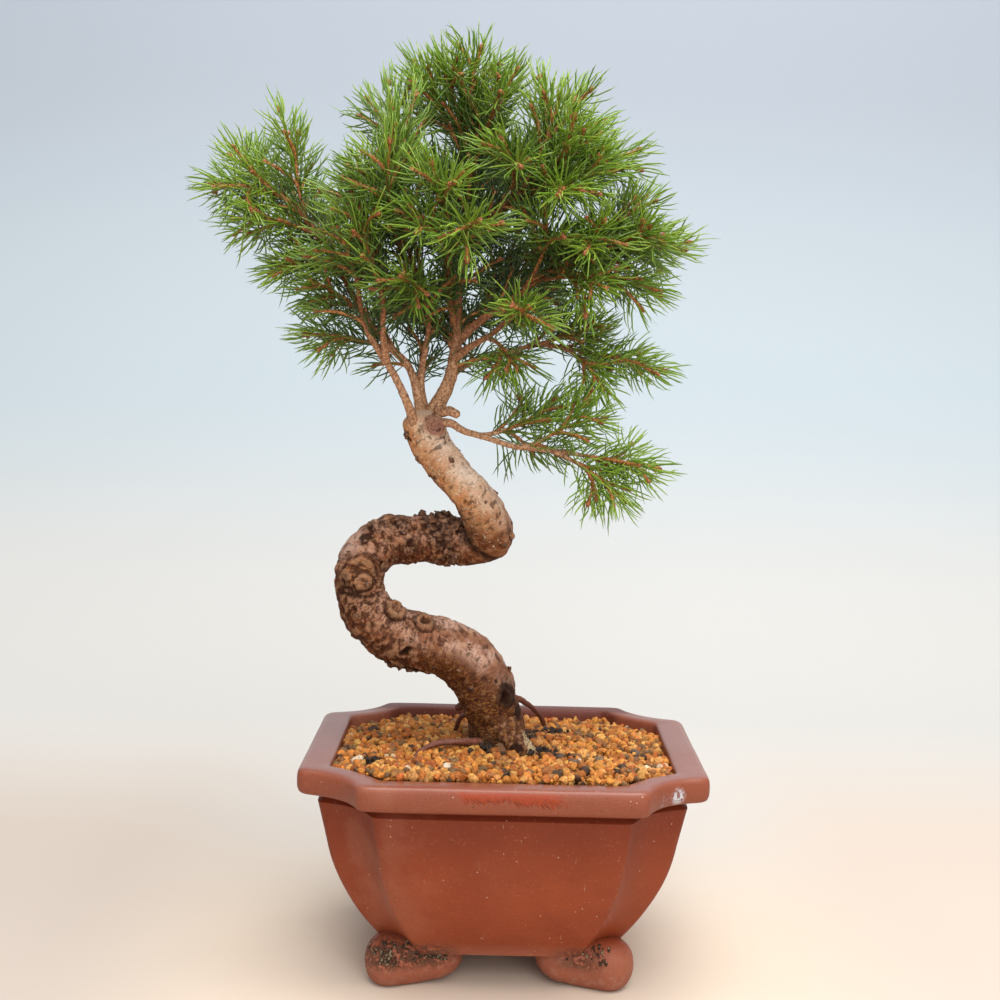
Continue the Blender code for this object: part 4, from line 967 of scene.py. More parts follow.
# Dark bark with golden flecks at the foot and near golden_place. Near golden_place it lies only on the side
# away from the light, and there its darkening is partly painted shade.
golden = ground.rise(118.0, 102.0) + place.near(golden_place, 13.0, 9.0) * above.rise(0.85, 0.60) * 0.8
damp = ground.rise(95.0, 86.0) * place.axis("X").rise(3.0, -9.0)
healed_colour = wrinkle.rise(0.42, 0.60).between((0.105, 0.030, 0.010), (0.40, 0.165, 0.055))
healed_colour = grit.rise(0.50, 0.38).between(healed_colour, (0.060, 0.022, 0.009))
scar_colour = grit.rise(0.42, 0.58).between((0.12, 0.030, 0.017), (0.46, 0.17, 0.11))
colour = painted(
    above.rise(0.46, 0.90).between(shade_side, lit_side),
    # Painted shade on the sides turned away from the light.
    (above.rise(0.36, 0.06), high_up.between((0.085, 0.019, 0.005), (0.36, 0.11, 0.032))),
    # Rugged bark's own dark colour, painted lighter where it faces the light.
    (rugged_bark * 0.4, above.rise(0.45, 0.8).between((0.15, 0.040, 0.012), (0.34, 0.125, 0.050))),
    (ground.rise(126.0, 102.0) * 0.75, (0.090, 0.024, 0.009)),
    (scab, (0.060, 0.017, 0.007)),
    (wrinkle.rise(0.50, 0.36) * (0.25 + rugged_bark * 0.45), (0.080, 0.024, 0.009)),
    (wrinkle.rise(0.56, 0.66) * 0.35, (0.62, 0.34, 0.18)),
    (grit.rise(0.48, 0.38) * (0.5 - high_up * 0.25), (0.085, 0.025, 0.010)),
    (grit.rise(0.57, 0.66) * 0.6, high_up.between((0.50, 0.26, 0.12), (0.92, 0.72, 0.52))),
    (smooth_patch * 0.7, (0.66, 0.42, 0.32)),
    (specks * 0.8, (0.92, 0.74, 0.56)),
    (reddish * 0.6, (0.34, 0.085, 0.040)),
    (golden * 0.75, (0.085, 0.021, 0.007)),
    (golden * flecks.rise(0.50, 0.60) * 0.75, (0.36, 0.155, 0.036)),
    (healed_bark * 0.65, healed_colour),
    (place.near(top_scar, 4.8, 1.0) * 0.85, scar_colour),
    # Painted shade in the hollows of the relief, and a painted highlight on its ridges.
    (hollow.rise(0.44, 0.18) * 0.65, (0.045, 0.015, 0.007)),
    (hollow.rise(0.58, 0.85) * 0.3, (0.58, 0.33, 0.18)),
    (damp * 0.6, (0.030, 0.020, 0.008)),
    # Dark stains and crumbly bark, with the knots' dishes and edges darkened as painted shade.
    (dark * (1 - grit.rise(0.58, 0.70) * 0.35), (0.028, 0.009, 0.004)),
    # Painted shade in the creases.
    (crease * 0.85, (0.030, 0.014, 0.009)),
)
place.feed(shader.inputs["Base Color"], colour)
place.feed(shader.inputs["Roughness"], 0.72 - place.near(wet_hollow, 4.0, 3.0) * 0.22 - grit * 0.12)
set_relief(place, shader, grit * 0.9 + wrinkle * 0.7 + flecks * 0.3 + specks * 0.35, 0.9)
trunk_faces = ring_faces(len(points), trunk_around)
trunk = make_piece("trunk", points.reshape(-1, 3), trunk_faces, bark, "bark", "tree_wood")
crumbly = rough * (0.80 - 0.45 * nodules)
darkness = np.clip(np.maximum(np.maximum(dish, stained * 0.95), crumbly), 0, 1)
mark_bark(trunk, trunk_path, out, reach, darkness, rugged, healed, creased)


# Loose flakes: dead bark that has lifted off the trunk, thickest where it is rough. Each is a thin
# curled plate that still holds by one edge.
# Share of the trunk's points that carry a flake, and how much more where the bark is rough.
flake_share = 0.0018
flake_share_in_rough = 0.030
flake_thickness = 0.4
flake_lift = 0.9
flake_curl = 0.12
flake_sink = 0.06
# Share of the length, and width there as a share of the size.
flake_outline = ((-0.3, 0.8), (0.25, 1.1), (0.7, 1.0), (1.0, 0.7))
# No flakes on the rings that stand in the soil.
buried_rings = 60


def flake(root, outward, along, size, draw):
    """Points and faces of one plate, held at the root and lifted at its far edge."""
    swing = draw.uniform(0, math.tau)
    across = np.cross(outward, along)
    way = math.cos(swing) * along + math.sin(swing) * across
    side = np.cross(outward, way)
    lift = draw.uniform(0.1, 0.6)
    rows = []
    for share, width in flake_outline:
        height = lift * share * abs(share) * flake_lift
        for edge in (-1, 1):
            spot = root + size * (share * way + (height - flake_sink) * outward + 0.5 * edge * width * side)
            rows.append(spot + flake_curl * size * draw.normal(size=3))
    top = np.array(rows)
    points = np.vstack([top + 0.5 * flake_thickness * outward, top - 0.5 * flake_thickness * outward])
    edge_loop = [0, 2, 4, 6, 7, 5, 3, 1]
    faces = [(row * 2, row * 2 + 1, row * 2 + 3, row * 2 + 2) for row in range(3)]
    faces += [(row * 2 + 10, row * 2 + 11, row * 2 + 9, row * 2 + 8) for row in range(3)]
    faces += [(a, b, b + 8, a + 8) for a, b in zip(edge_loop, edge_loop[1:] + edge_loop[:1])]
    return points, faces


def gathered(parts):
    """Several meshes' points and faces as one."""
    points, faces, count = [], [], 0
    for part_points, part_faces in parts:
        points.append(part_points)
        faces += [tuple(corner + count for corner in face) for face in part_faces]
        count += len(part_points)
    return np.vstack(points), faces


flake_bark, place, shader = new_finish("flake_bark", Roughness=0.75)
crumb = place.clouds(1.2, 4, 0.65)
colour = crumb.rise(0.38, 0.66).between((0.045, 0.016, 0.008), (0.30, 0.130, 0.058))
place.feed(shader.inputs["Base Color"], colour)
set_relief(place, shader, crumb, 0.4)
draw = np.random.default_rng(17)
chosen = draw.random(rough.shape) < flake_share + flake_share_in_rough * rough
chosen[:buried_rings] = False
flakes = []
ways_along = side_vectors(trunk_path)[0]
for ring, side in zip(*np.nonzero(chosen)):
    size = draw.uniform(1.1, 2.4) if rough[ring, side] < 0.3 else draw.uniform(1.4, 3.4)
    flakes.append(flake(points[ring, side], out[ring, side], ways_along[ring], size, draw))
points, faces = gathered(flakes)
make_piece("bark_flakes", points, faces, flake_bark, "bark", "tree_wood")


# The roots that show: thin, dark and half bare, leaving the trunk's foot and diving into the gravel.
# The toe at the front is a thick root cut short, and beside it is one weathered to straw-coloured
# strands. Each line gives across, deep, up and radius.
root_lines = (
    ((-7, -5, 87, 2.0), (-13, -9, 88.6, 1.5), (-19, -12.4, 89.4, 1.3), (-25.6, -13.7, 88.9, 1.2),
     (-30.7, -15.8, 87.2, 1.1), (-35, -18.4, 83.6, 1.0)),
    ((3, 4, 104, 1.3), (6, 7, 102.6, 1.2), (9, 13, 99.5, 1.1), (12.5, 22, 95, 1.0), (16, 33, 88.5, 1.0),
     (18, 40, 82.5, 1.0)),
    ((-10, 4, 103, 1.6), (-15, 7, 101, 1.5), (-19.5, 9, 97.2, 1.4)),
    ((-11, 5, 98, 1.1), (-15, 9, 95.5, 1.0), (-18, 17, 91.5, 1.0), (-20.5, 26, 83, 0.9)),
)
toe_line = (
    (-1.5, -1, 96, 6.4), (1.3, -6, 92, 5.6), (3.9, -10.5, 88.8, 4.6), (5.8, -13.8, 86.4, 3.8),
    (6.9, -15.8, 84.4, 3.2),
)
toe_around = 60
# Where the toe was cut short, and how far from there it is dark.
toe_cut = (5.0, -15.6, 87.4)
toe_cut_reach = 3.4
straw_line = (
    (2, -3, 92.5, 3.4), (6.4, -7.5, 89.6, 3.1), (9.2, -11.5, 87.4, 2.6), (11.6, -14.6, 85.6, 2.0),
    (13.0, -16.6, 84.2, 1.4),
)
# The last ring of a root, limb or twig is drawn in to this share of its radius.
end_share = 0.35


def tapered_tube(line, around, spacing, rough, size=1.7):
    """A tube with its end drawn in, its skin roughened by a share of its radius in lumps of a size."""
    path = smooth_path(line, spacing)
    path[-1, 3] *= end_share
    out, points = tube_rings(path, around)
    for ring, row in enumerate(points):
        for side, skin in enumerate(row):
            lift = noise.noise(Vector(skin) / size) + 0.5 * noise.noise(Vector(skin) / size * 2.4)
            points[ring, side] += out[ring, side] * lift * rough * path[ring, 3]
    return points.reshape(-1, 3), ring_faces(len(path), around)


root_skin, place, shader = new_finish("root_skin", Roughness=0.62)
grain = place.clouds(1.2, 4, 0.6)
place.feed(shader.inputs["Base Color"], grain.between((0.070, 0.016, 0.009), (0.24, 0.075, 0.038)))
set_relief(place, shader, grain, 0.4)
roots = [tapered_tube(line, around=14, spacing=0.6, rough=0.30, size=1.3) for line in root_lines]
points, faces = gathered(roots)
make_piece("roots", points, faces, root_skin, "bark", "tree_wood")

toe_path = smooth_path(toe_line, 0.6)
out, points = tube_rings(toe_path, toe_around)
height = np.zeros(points.shape[:2])
for ring, row in enumerate(points):
    for side, skin in enumerate(row):
        skin = Vector(skin)
        height[ring, side] = 0.7 * noise.noise(skin / 3.0) + 0.45 * noise.noise(skin / 1.3)
points = points + out * height[:, :, None]
toe_faces = ring_faces(len(points), toe_around)
toe = make_piece("toe", points.reshape(-1, 3), toe_faces, bark, "bark", "tree_wood")
cut = 1 - step_up(np.linalg.norm(points - np.array(toe_cut), axis=2), toe_cut_reach - 1.0, toe_cut_reach)
plain = np.zeros_like(height)
mark_bark(toe, toe_path, out, height, cut, plain, plain, plain)

straw_wood, place, shader = new_finish("straw_wood", Roughness=0.8)
strands = (place * (1.9, 0.75, 0.75)).clouds(0.9, 4, 0.65)
colour = strands.rise(0.38, 0.62).between((0.13, 0.065, 0.028), (0.56, 0.40, 0.21))
place.feed(shader.inputs["Base Color"], colour)
set_relief(place, shader, strands, 0.8)
points, faces = tapered_tube(straw_line, around=36, spacing=0.5, rough=0.2, size=1.5)
make_piece("straw_root", points, faces, straw_wood, "bark", "tree_wood")


# The limbs and twigs: the tree's younger wood, tan on the stout limbs low down and darker
# orange-brown on the twigs higher in the crown, where the darker colour is partly painted shade,
# set with the small pegs that fallen needles leave. All grew out of the trunk.
# Each limb: points from its fork to its end, radius at the fork and at the end.
limbs = {
    "left_front": (((-36, -3, 209), (-40, -11, 221), (-44, -14, 230), (-48, -16, 237)), 2.5, 1.8),
    "left_front_outer": (((-48, -16, 237), (-52, -17, 243), (-56, -18, 250), (-58, -19, 258),
                          (-59, -20, 266)), 1.6, 1.1),
    "left_front_inner": (((-48, -16, 237), (-49, -22, 247), (-49, -27, 260), (-52, -31, 272)), 1.6, 1.1),
    "left_long": (((-35, 2, 216), (-40, 2, 234), (-49, 0, 244), (-56, 0, 252), (-62, 0, 261),
                   (-67, -2, 271), (-73, -4, 282), (-80, -6, 290), (-86, -8, 297)), 2.3, 1.2),
    "centre_left": (((-34, 3, 215), (-36, 4, 228), (-35, 3, 239), (-33, 0, 250), (-34, -5, 261),
                     (-38, -12, 272), (-43, -18, 279)), 2.4, 1.1),
    "leader": (((-33, 0, 212), (-29, 2, 221), (-25, 2, 229), (-23, 2, 238), (-22, 3, 248), (-22, 6, 262),
                (-21, 9, 274), (-19, 12, 288), (-19, 12, 304), (-20, 11, 317), (-22, 9, 329)), 4.3, 1.2),
    "front_stem": (((-23, 4, 252), (-25, -6, 263), (-25, -14, 272), (-24, -22, 281)), 1.6, 1.1),
    "right_front": (((-23, 2, 239), (-16, -8, 244), (-9, -16, 248), (-4, -24, 252)), 2.1, 1.2),
    "right_main": (((-22, 4, 246), (-13, 4, 254), (-3, 2, 261), (8, -2, 269), (18, -6, 275),
                    (29, -9, 282)), 2.2, 1.2),
    "right_upper": (((-19, 12, 285), (-12, 4, 292), (-4, -6, 298), (2, -12, 303)), 1.8, 1.2),
    "right_back": (((-23, 4, 234), (-14, 13, 239), (-3, 17, 242), (9, 17, 245), (19, 14, 245)), 1.8, 1.1),
    "lowest": (((-31, -1, 213), (-24, -5, 214), (-18, -7, 211), (-10, -8, 209), (0, -10, 206),
                (9, -11, 205), (20, -12, 204)), 2.1, 1.2),
    "back_right": (((-22, 5, 250), (-13, 20, 260), (-3, 32, 268), (7, 42, 276)), 1.9, 1.1),
    "back_left": (((-23, 3, 244), (-33, 20, 256), (-43, 32, 264), (-51, 40, 272)), 1.9, 1.1),
    "back_high": (((-19, 12, 290), (-18, 24, 304), (-15, 36, 314)), 1.6, 1.1),
}
stub_line = ((-29, -1, 218, 2.4), (-24, -5, 218.5, 1.9), (-20, -7, 217, 1.5))
# Each spray: its limb, the share of the limb's length where it leaves, its tip and its side shoot's tip.
sprays = {
    "left_far": ("left_long", 1.0, ((-116, -10, 303), (-99, -20, 293))),
    "left_far_upper": ("left_long", 0.95, ((-112, 6, 316), (-100, 15, 320))),
    "left_high": ("left_long", 0.90, ((-84, -6, 323), (-93, 6, 334))),
    "left_under": ("left_long", 0.82, ((-106, -14, 290), (-101, 4, 285))),
    "left_low_out": ("left_long", 0.66, ((-94, -2, 271), (-86, -17, 275))),
    "left_low_in": ("left_long", 0.48, ((-77, -15, 267), (-81, 5, 259))),
    "left_back": ("left_long", 0.74, ((-85, 24, 303), (-83, 30, 288))),
    "left_bottom": ("left_long", 0.28, ((-80, -6, 247), (-71, 8, 240))),
    "left_front_tip": ("left_front_outer", 1.0, ((-65, -34, 285), (-69, -24, 275))),
    "left_mid": ("left_front_inner", 0.7, ((-61, -10, 314), (-67, -12, 298))),
    "left_mid_face": ("left_front_inner", 0.9, ((-61, -30, 300), (-50, -44, 290))),
    "left_crown_top": ("centre_left", 0.66, ((-51, 6, 345), (-60, 18, 341))),
    "left_crown_face": ("centre_left", 1.0, ((-46, -43, 316), (-58, -36, 301))),
    "left_crown_mid": ("centre_left", 0.86, ((-47, -24, 331), (-39, -12, 338))),
    "centre_left_low": ("centre_left", 0.55, ((-41, -46, 268), (-35, -40, 258))),
    "front_stem_left": ("front_stem", 0.8, ((-38, -44, 293), (-35, -56, 283))),
    "front_stem_tip": ("front_stem", 1.0, ((-31, -48, 308), (-22, -60, 300))),
    "front_stem_face": ("front_stem", 0.9, ((-13, -58, 287), (-17, -56, 274))),
    "leader_tip": ("leader", 1.0, ((-31, 4, 354), (-22, -10, 346))),
    "leader_top": ("leader", 0.94, ((-15, 2, 358), (-8, 18, 352))),
    "leader_left": ("leader", 0.85, ((-41, 12, 354), (-41, -2, 344))),
    "leader_right": ("leader", 0.80, ((-1, -4, 349), (-7, -20, 338))),
    "upper_front": ("right_upper", 0.8, ((-6, -40, 318), (1, -52, 307))),
    "upper_right_tip": ("right_upper", 1.0, ((15, -22, 337), (8, -8, 346))),
    "upper_right_mid": ("right_upper", 0.93, ((29, -28, 322), (20, -38, 327))),
    "upper_right_low": ("right_upper", 0.86, ((23, -44, 300), (15, -54, 297))),
    "upper_right_far": ("right_upper", 0.60, ((24, 4, 344), (34, 10, 333))),
    "right_shoulder": ("right_upper", 0.45, ((47, 0, 321), (39, -14, 312))),
    "right_centre_face": ("right_main", 0.50, ((10, -42, 294), (17, -46, 283))),
    "right_centre_up": ("right_upper", 0.75, ((36, -24, 310), (30, -34, 300))),
    "right_mid_up": ("right_main", 0.90, ((50, 2, 303), (37, 12, 300))),
    "right_mid_face": ("right_main", 0.78, ((32, -38, 290), (25, -46, 278))),
    "right_tip": ("right_main", 1.0, ((56, -14, 287), (47, -28, 291))),
    "right_far": ("right_main", 0.84, ((67, 10, 284), (59, 22, 276))),
    "right_low_far": ("right_main", 0.70, ((57, 4, 266), (49, -8, 260))),
    "right_low_face": ("right_main", 0.62, ((33, -34, 266), (26, -38, 256))),
    "right_low_in": ("right_front", 1.0, ((5, -50, 258), (13, -42, 251))),
    "right_front_low": ("right_front", 0.65, ((1, -28, 236), (-9, -26, 233))),
    "right_under": ("right_back", 0.72, ((34, 6, 253), (27, 22, 259))),
    "low_right_yellow": ("right_back", 1.0, ((35, -4, 229), (43, 6, 240))),
    "low_right_far": ("right_back", 0.9, ((61, 14, 236), (51, 24, 243))),
    "lowest_tip": ("lowest", 1.0, ((56, -16, 199), (47, -4, 207))),
    "lowest_under": ("lowest", 0.93, ((43, -22, 187), (30, -24, 186))),
    "lowest_upper": ("lowest", 0.72, ((29, -12, 224), (36, -4, 217))),
    "lowest_inner": ("lowest", 0.40, ((17, 2, 224), (3, 4, 224))),
    "back_right_tip": ("back_right", 1.0, ((23, 58, 290), (31, 44, 280))),
    "back_right_low": ("back_right", 0.7, ((5, 58, 261), (21, 50, 256))),
    "back_left_tip": ("back_left", 1.0, ((-65, 54, 287), (-73, 42, 278))),
    "back_left_low": ("back_left", 0.7, ((-47, 56, 260), (-63, 42, 256))),
    "back_centre": ("back_right", 0.45, ((2, 38, 296), (14, 46, 285))),
    "back_high_tip": ("back_high", 1.0, ((-13, 46, 338), (-29, 42, 335))),
    "back_high_mid": ("back_high", 0.7, ((-27, 60, 312), (-7, 58, 316))),
    "back_high_right": ("back_high", 0.45, ((13, 36, 328), (23, 28, 316))),
    "back_high_left": ("back_high", 0.60, ((-47, 36, 322), (-53, 40, 308))),
}
# A limb's radius falls quickly from its fork, and it is this share of the solid's.
limb_taper = 2.0
limb_share = 0.78
fork_flare = 0.45
fork_reach = 7.0
twig_radius = 0.85
twig_tip_radius = 0.65
twig_flare = 0.5
twig_reach = 2.5
# The leafy end of a spray: at most this long, and at most this share of its length.
leafy_longest = 40.0
leafy_share = 0.66
path_spacing = 1.3
peg_spacing = 1.5
peg_width = 0.42
# Leaves and needles follow each other round a stem by this turn.
golden_turn = math.radians(137.5)


def limb_path(name, spacing):
    """A limb's middle line, with its radius tapering from fork to end."""
    points, thick, thin = limbs[name]
    line = smooth_path(points, spacing)
    radii = thin + (thick - thin) * np.linspace(1, 0, len(line)) ** limb_taper
    return np.column_stack([line, limb_share * radii])


def point_at(path, distance):
    """Position and direction at a distance along a path."""
    reach = lengths_along(path)
    spot = np.array([np.interp(distance, reach, path[:, axis]) for axis in range(3)])
    index = int(np.clip(np.searchsorted(reach, distance) - 1, 0, len(path) - 2))
    return spot, unit(path[index + 1, :3] - path[index, :3])


def spray_path(name):
    """A spray's main line from its limb to its tip: it leaves along the limb and turns outward."""
    limb, share, tips = sprays[name]
    carrier = limb_path(limb, 3.0)
    start, along = point_at(carrier, share * lengths_along(carrier)[-1])
    tip = np.array(tips[0], float)
    control = start + 0.5 * np.linalg.norm(tip - start) * unit(0.8 * along + unit(tip - start))
    return bend(start, control, tip, 25)


def side_shoot(path, distance, tip):
    """A shoot that leaves a path forward and turns to its own tip."""
    start, along = point_at(path, distance)
    control = start + 0.4 * np.linalg.norm(tip - start) * unit(along + 0.9 * unit(tip - start))
    return bend(start, control, tip, 19)


def cut_path(path, begin, end, spacing):
    """The stretch of a path between two distances, in even steps."""
    count = max(2, round((end - begin) / spacing) + 1)
    reach = lengths_along(path)
    steps = np.linspace(begin, end, count)
    return np.column_stack([np.interp(steps, reach, path[:, axis]) for axis in range(3)])


def peg(root, way, length, width):
    """A small three-sided peg standing on the bark."""
    side = unit(np.cross(way, (0.3, 0.5, 0.81)))
    other = np.cross(way, side)
    corners = [root - 0.5 * width * way + width * (math.cos(turn) * side + math.sin(turn) * other)
               for turn in (0.0, math.tau / 3, 2 * math.tau / 3)]
    return np.array(corners + [root + length * way]), [(0, 1, 3), (1, 2, 3), (2, 0, 3)]


def pegs_along(path, spacing, length, choose):
    """Pegs on a spiral along a path with radii, leaning forward."""
    along, across, upward = side_vectors(path)
    reach = lengths_along(path)
    made = []
    turn = choose.uniform(0, math.tau)
    for distance in np.arange(0.6 * spacing, reach[-1], spacing):
        index = min(int(np.searchsorted(reach, distance)), len(path) - 1)
        turn += golden_turn
        out = math.cos(turn) * across[index] + math.sin(turn) * upward[index]
        way = unit(out + 0.8 * along[index])
        made.append(peg(path[index, :3] + 0.9 * path[index, 3] * out, way, length, peg_width))
    return made


# The groups of sprays, each with the starts of its sprays' and limbs' names.
groups = {
    "left": ("left_",),
    "crown": ("leader", "front_stem", "centre_left", "upper", "right_upper"),
    "right": ("right_front", "right_main", "right_"),
    "low": ("low",),
    "back": ("back_",),
}
crown_middle = np.array((-20.0, 0.0, 280.0))
# Where a spray's leafy end forks: shares of its length, counted from a little before its start.
extra_shoots = (0.22, 0.46, 0.68)
inner_spacing = 5.6
# Below this height every inner shoot in front of its stem is left out. Above it, most of those that
# stand in front by more than front_clear are.
open_height = 256.0
front_clear = 3.0
front_share = 0.4
# No inner shoot starts on a limb below this height.
lowest_height = 226.0
# Limbs deep inside the crown that carry several rounds of shoots in the shade.
shaded_limbs = {
    "leader": 3, "front_stem": 2, "right_upper": 2, "back_high": 2, "back_right": 2, "right_main": 2,
    "centre_left": 2,
}
choose = random.Random(23)
# Each shoot: its group, its spray's name or none, its path, and its youth from 0 to 1.
shoots = []
wood = []
pegs = []


def group_of(name):
    """The group that a spray or limb belongs to."""
    return next(key for key, starts in groups.items() if name.startswith(starts))


def fork_tip(path, distance, side, forward, length, choose):
    """Where a shoot that forks to one side of a path ends."""
    start, along = point_at(path, distance)
    outward = unit(start - crown_middle)
    sideways = unit(np.cross(along, (0.3 * outward[0], 0.3 * outward[1], 1.0)))
    upward = np.cross(sideways, along)
    swing = side + choose.uniform(-0.7, 0.7)
    away = math.cos(swing) * sideways + math.sin(swing) * upward
    return start + length * unit(forward * along + 0.75 * away + 0.25 * outward)


def inner_shoots(group, path, begin, end, choose):
    """Short old shoots in the shade inside the crown, set round a path on a spiral."""
    side = choose.uniform(0, math.tau)
    distance = begin
    while distance < end:
        length = choose.uniform(12.0, 21.0)
        tip = fork_tip(path, distance, side, 0.7, length, choose)
        start = point_at(path, distance)[0]
        low_down = start[2] < open_height
        in_front = tip[1] < start[1] - (0.0 if low_down else front_clear)
        if not in_front or not low_down and choose.random() < front_share:
            shoots.append((group, "", side_shoot(path, distance, tip), choose.uniform(0.15, 0.45)))
        side += 2.4
        distance += inner_spacing * choose.uniform(0.8, 1.2)


for name in limbs:
    path = limb_path(name, path_spacing)
    from_fork = lengths_along(path)
    path[:, 3] *= 1 + fork_flare * np.exp(-from_fork / fork_reach)
    wood.append(tapered_tube(path, around=14, spacing=path_spacing, rough=0.13, size=2.4))
    pegs += pegs_along(path[3:], peg_spacing * 1.3, 0.75, choose)
    above = path[:, 2] > lowest_height
    leafy_from = from_fork[int(np.argmax(above))] if above.any() else 0.62 * from_fork[-1]
    begin = max(leafy_from, 0.2 * from_fork[-1])
    for _ in range(shaded_limbs.get(name, 1)):
        inner_shoots(group_of(name), path[:, :3], begin, from_fork[-1], choose)
wood.append(tapered_tube(stub_line, around=12, spacing=0.9, rough=0.15))
for name, (_, _, tips) in sprays.items():
    group = group_of(name)
    path = spray_path(name)
    total = lengths_along(path)[-1]
    leafy = min(leafy_longest, leafy_share * total)
    twig = cut_path(path, 0, total - leafy + 2.0, path_spacing)
    radii = np.linspace(twig_radius, twig_tip_radius, len(twig))
    radii = radii * (1 + twig_flare * np.exp(-lengths_along(twig) / twig_reach))
    twig = np.column_stack([twig, radii])
    wood.append(tapered_tube(twig, around=9, spacing=path_spacing, rough=0.12))
    pegs += pegs_along(twig, peg_spacing, 0.8, choose)
    shoots.append((group, name, cut_path(path, total - leafy - 6.0, total, 1.2), 1.0))
    inner_shoots(group, path, 0.35 * (total - leafy), total - leafy, choose)
    for tip in tips[1:]:
        shoots.append((group, name, side_shoot(path, total - 0.78 * leafy, np.array(tip, float)), 0.95))
    side = choose.uniform(-0.4, 0.4)
    for share in extra_shoots:
        distance = total - leafy * (1.12 - share)
        length = choose.uniform(0.42, 0.58) * (total - distance) + 7.0
        tip = fork_tip(path, distance, side, 0.72, length, choose)
        shoots.append((group, name, side_shoot(path, distance, tip), 0.5 + 0.4 * share))
        side += math.pi

limb_bark, place, shader = new_finish("limb_bark", Roughness=0.7)
scale = place.clouds(0.9, 4, 0.65)
streak = (place * (1.0, 1.0, 0.45)).clouds(1.3, 3, 0.6)
low = scale.rise(0.35, 0.65).between((0.24, 0.090, 0.034), (0.60, 0.345, 0.190))
youth_and_light = scale.rise(0.35, 0.65).between((0.14, 0.038, 0.010), (0.37, 0.135, 0.038))
# Higher in the crown the bark is darker: partly the twigs' own colour and partly painted shade.
colour = place.axis("Z").rise(226.0, 262.0).between(low, youth_and_light)
colour = (streak.rise(0.5, 0.38) * 0.4).between(colour, (0.085, 0.030, 0.010))
place.feed(shader.inputs["Base Color"], colour)
set_relief(place, shader, scale * 0.6 + streak * 0.4, 0.4)
points, faces = gathered(wood)
make_piece("limbs_and_twigs", points, faces, limb_bark, "bark", "tree_wood")
points, faces = gathered(pegs)
make_piece("needle_pegs", points, faces, limb_bark, "bark", "tree_wood")


# The needles: spruce needles of about 11 to 15 mm, four-sided, a little bent towards the shoot's
# tip, one to each peg on a spiral round the season's shoots. They are sparse inside the crown, and
# their colour is painted dark there as shade and bright towards the outside as light, and lighter
# where young.
needle_length = 14.6
needle_radius = 0.31
needle_spacing = 0.60
needle_lean = math.radians(68)
needle_lean_at_tip = math.radians(26)
needle_curve = math.radians(44)
# How far the needles turn up to the light.
needle_upward = 0.12
# An old shoot's needles are shorter by this share.
old_shortfall = 0.18
shoot_radius = 0.76
shoot_tip_radius = 0.58
# Share of the needles already fallen from a shoot's older part.
fallen_share = 0.35
# Share of the length, and share of the full radius there.
needle_profile = ((0.0, 0.55), (0.35, 1.0), (0.76, 0.84))
needle_sides = 4
# The needles' painted light falls off from the crown's outside, an ellipsoid of about these half sizes.
crown_half_sizes = (75.0, 55.0, 75.0)
# One spray, low on the right, is yellower and lighter than the rest.
yellow_spray = "low_right_yellow"
yellow_extra = 0.35
# The last needles under the lowest limb: from, to, and how many.
hanging_from = 27.0
hanging_to = 38.0
hanging_count = 6


def needles_along(path, fallen, reach, draw):
    """Roots, directions and lengths of the needles of a shoot, on a spiral that closes at the tip."""
    along, across, upward = side_vectors(path)
    steps = lengths_along(path)
    distance = np.arange(0.4, steps[-1] + 0.3, needle_spacing)
    share = distance / steps[-1]
    turn = draw.uniform(0, math.tau) + golden_turn * np.arange(len(distance))
    turn = turn + draw.normal(0, 0.12, len(distance))
    kept = draw.random(len(distance)) > fallen * (1 - step_up(share, 0.30, 0.60))
    distance, share, turn = distance[kept], share[kept], turn[kept]

    def at(values):
        """Values along the path, read at each needle."""
        return np.column_stack([np.interp(distance, steps, values[:, axis]) for axis in range(3)])

    ways, sides, ups = at(along), at(across), at(upward)
    out = np.cos(turn)[:, None] * sides + np.sin(turn)[:, None] * ups
    lean = needle_lean + (needle_lean_at_tip - needle_lean) * step_up(share, 0.6, 1.02)
    lean = lean + draw.normal(0, 0.13, len(distance))
    start_way = np.cos(lean)[:, None] * ways + np.sin(lean)[:, None] * out
    start_way += (0.0, 0.0, needle_upward)
    start_way /= np.linalg.norm(start_way, axis=1)[:, None]
    inward = ways - (ways * start_way).sum(1)[:, None] * start_way
    inward += draw.normal(0, 0.12, inward.shape)
    inward /= np.maximum(np.linalg.norm(inward, axis=1)[:, None], 0.2)
    length = reach * draw.uniform(0.86, 1.08, len(distance)) * (1 - 0.22 * step_up(share, 0.7, 1.0))
    length *= 0.72 + 0.28 * step_up(share, 0.0, 0.2)
    roots = at(path) + out * 0.6
    return roots, start_way, inward, length, share


def needle_points(roots, ways, inward, length, bent):
    """Points of bent, tapered four-sided needles: three rings of four and a tip each."""
    side = np.cross(ways, inward)
    side /= np.maximum(np.linalg.norm(side, axis=1)[:, None], 1e-6)

    def reached(share, angle):
        """The point of each needle's bent middle line at a share of its length."""
        run = np.cos(angle / 2)[:, None] * ways + np.sin(angle / 2)[:, None] * inward
        return roots + length[:, None] * share * run

    rows = []
    for share, width in needle_profile:
        angle = bent * share
        middle = reached(share, angle)
        up = np.cos(angle)[:, None] * inward - np.sin(angle)[:, None] * ways
        for a, b in ((1, 0), (0, 1), (-1, 0), (0, -1)):
            rows.append(middle + needle_radius * width * (a * side + b * up))
    rows.append(reached(1.0, bent))
    return np.stack(rows, 1)


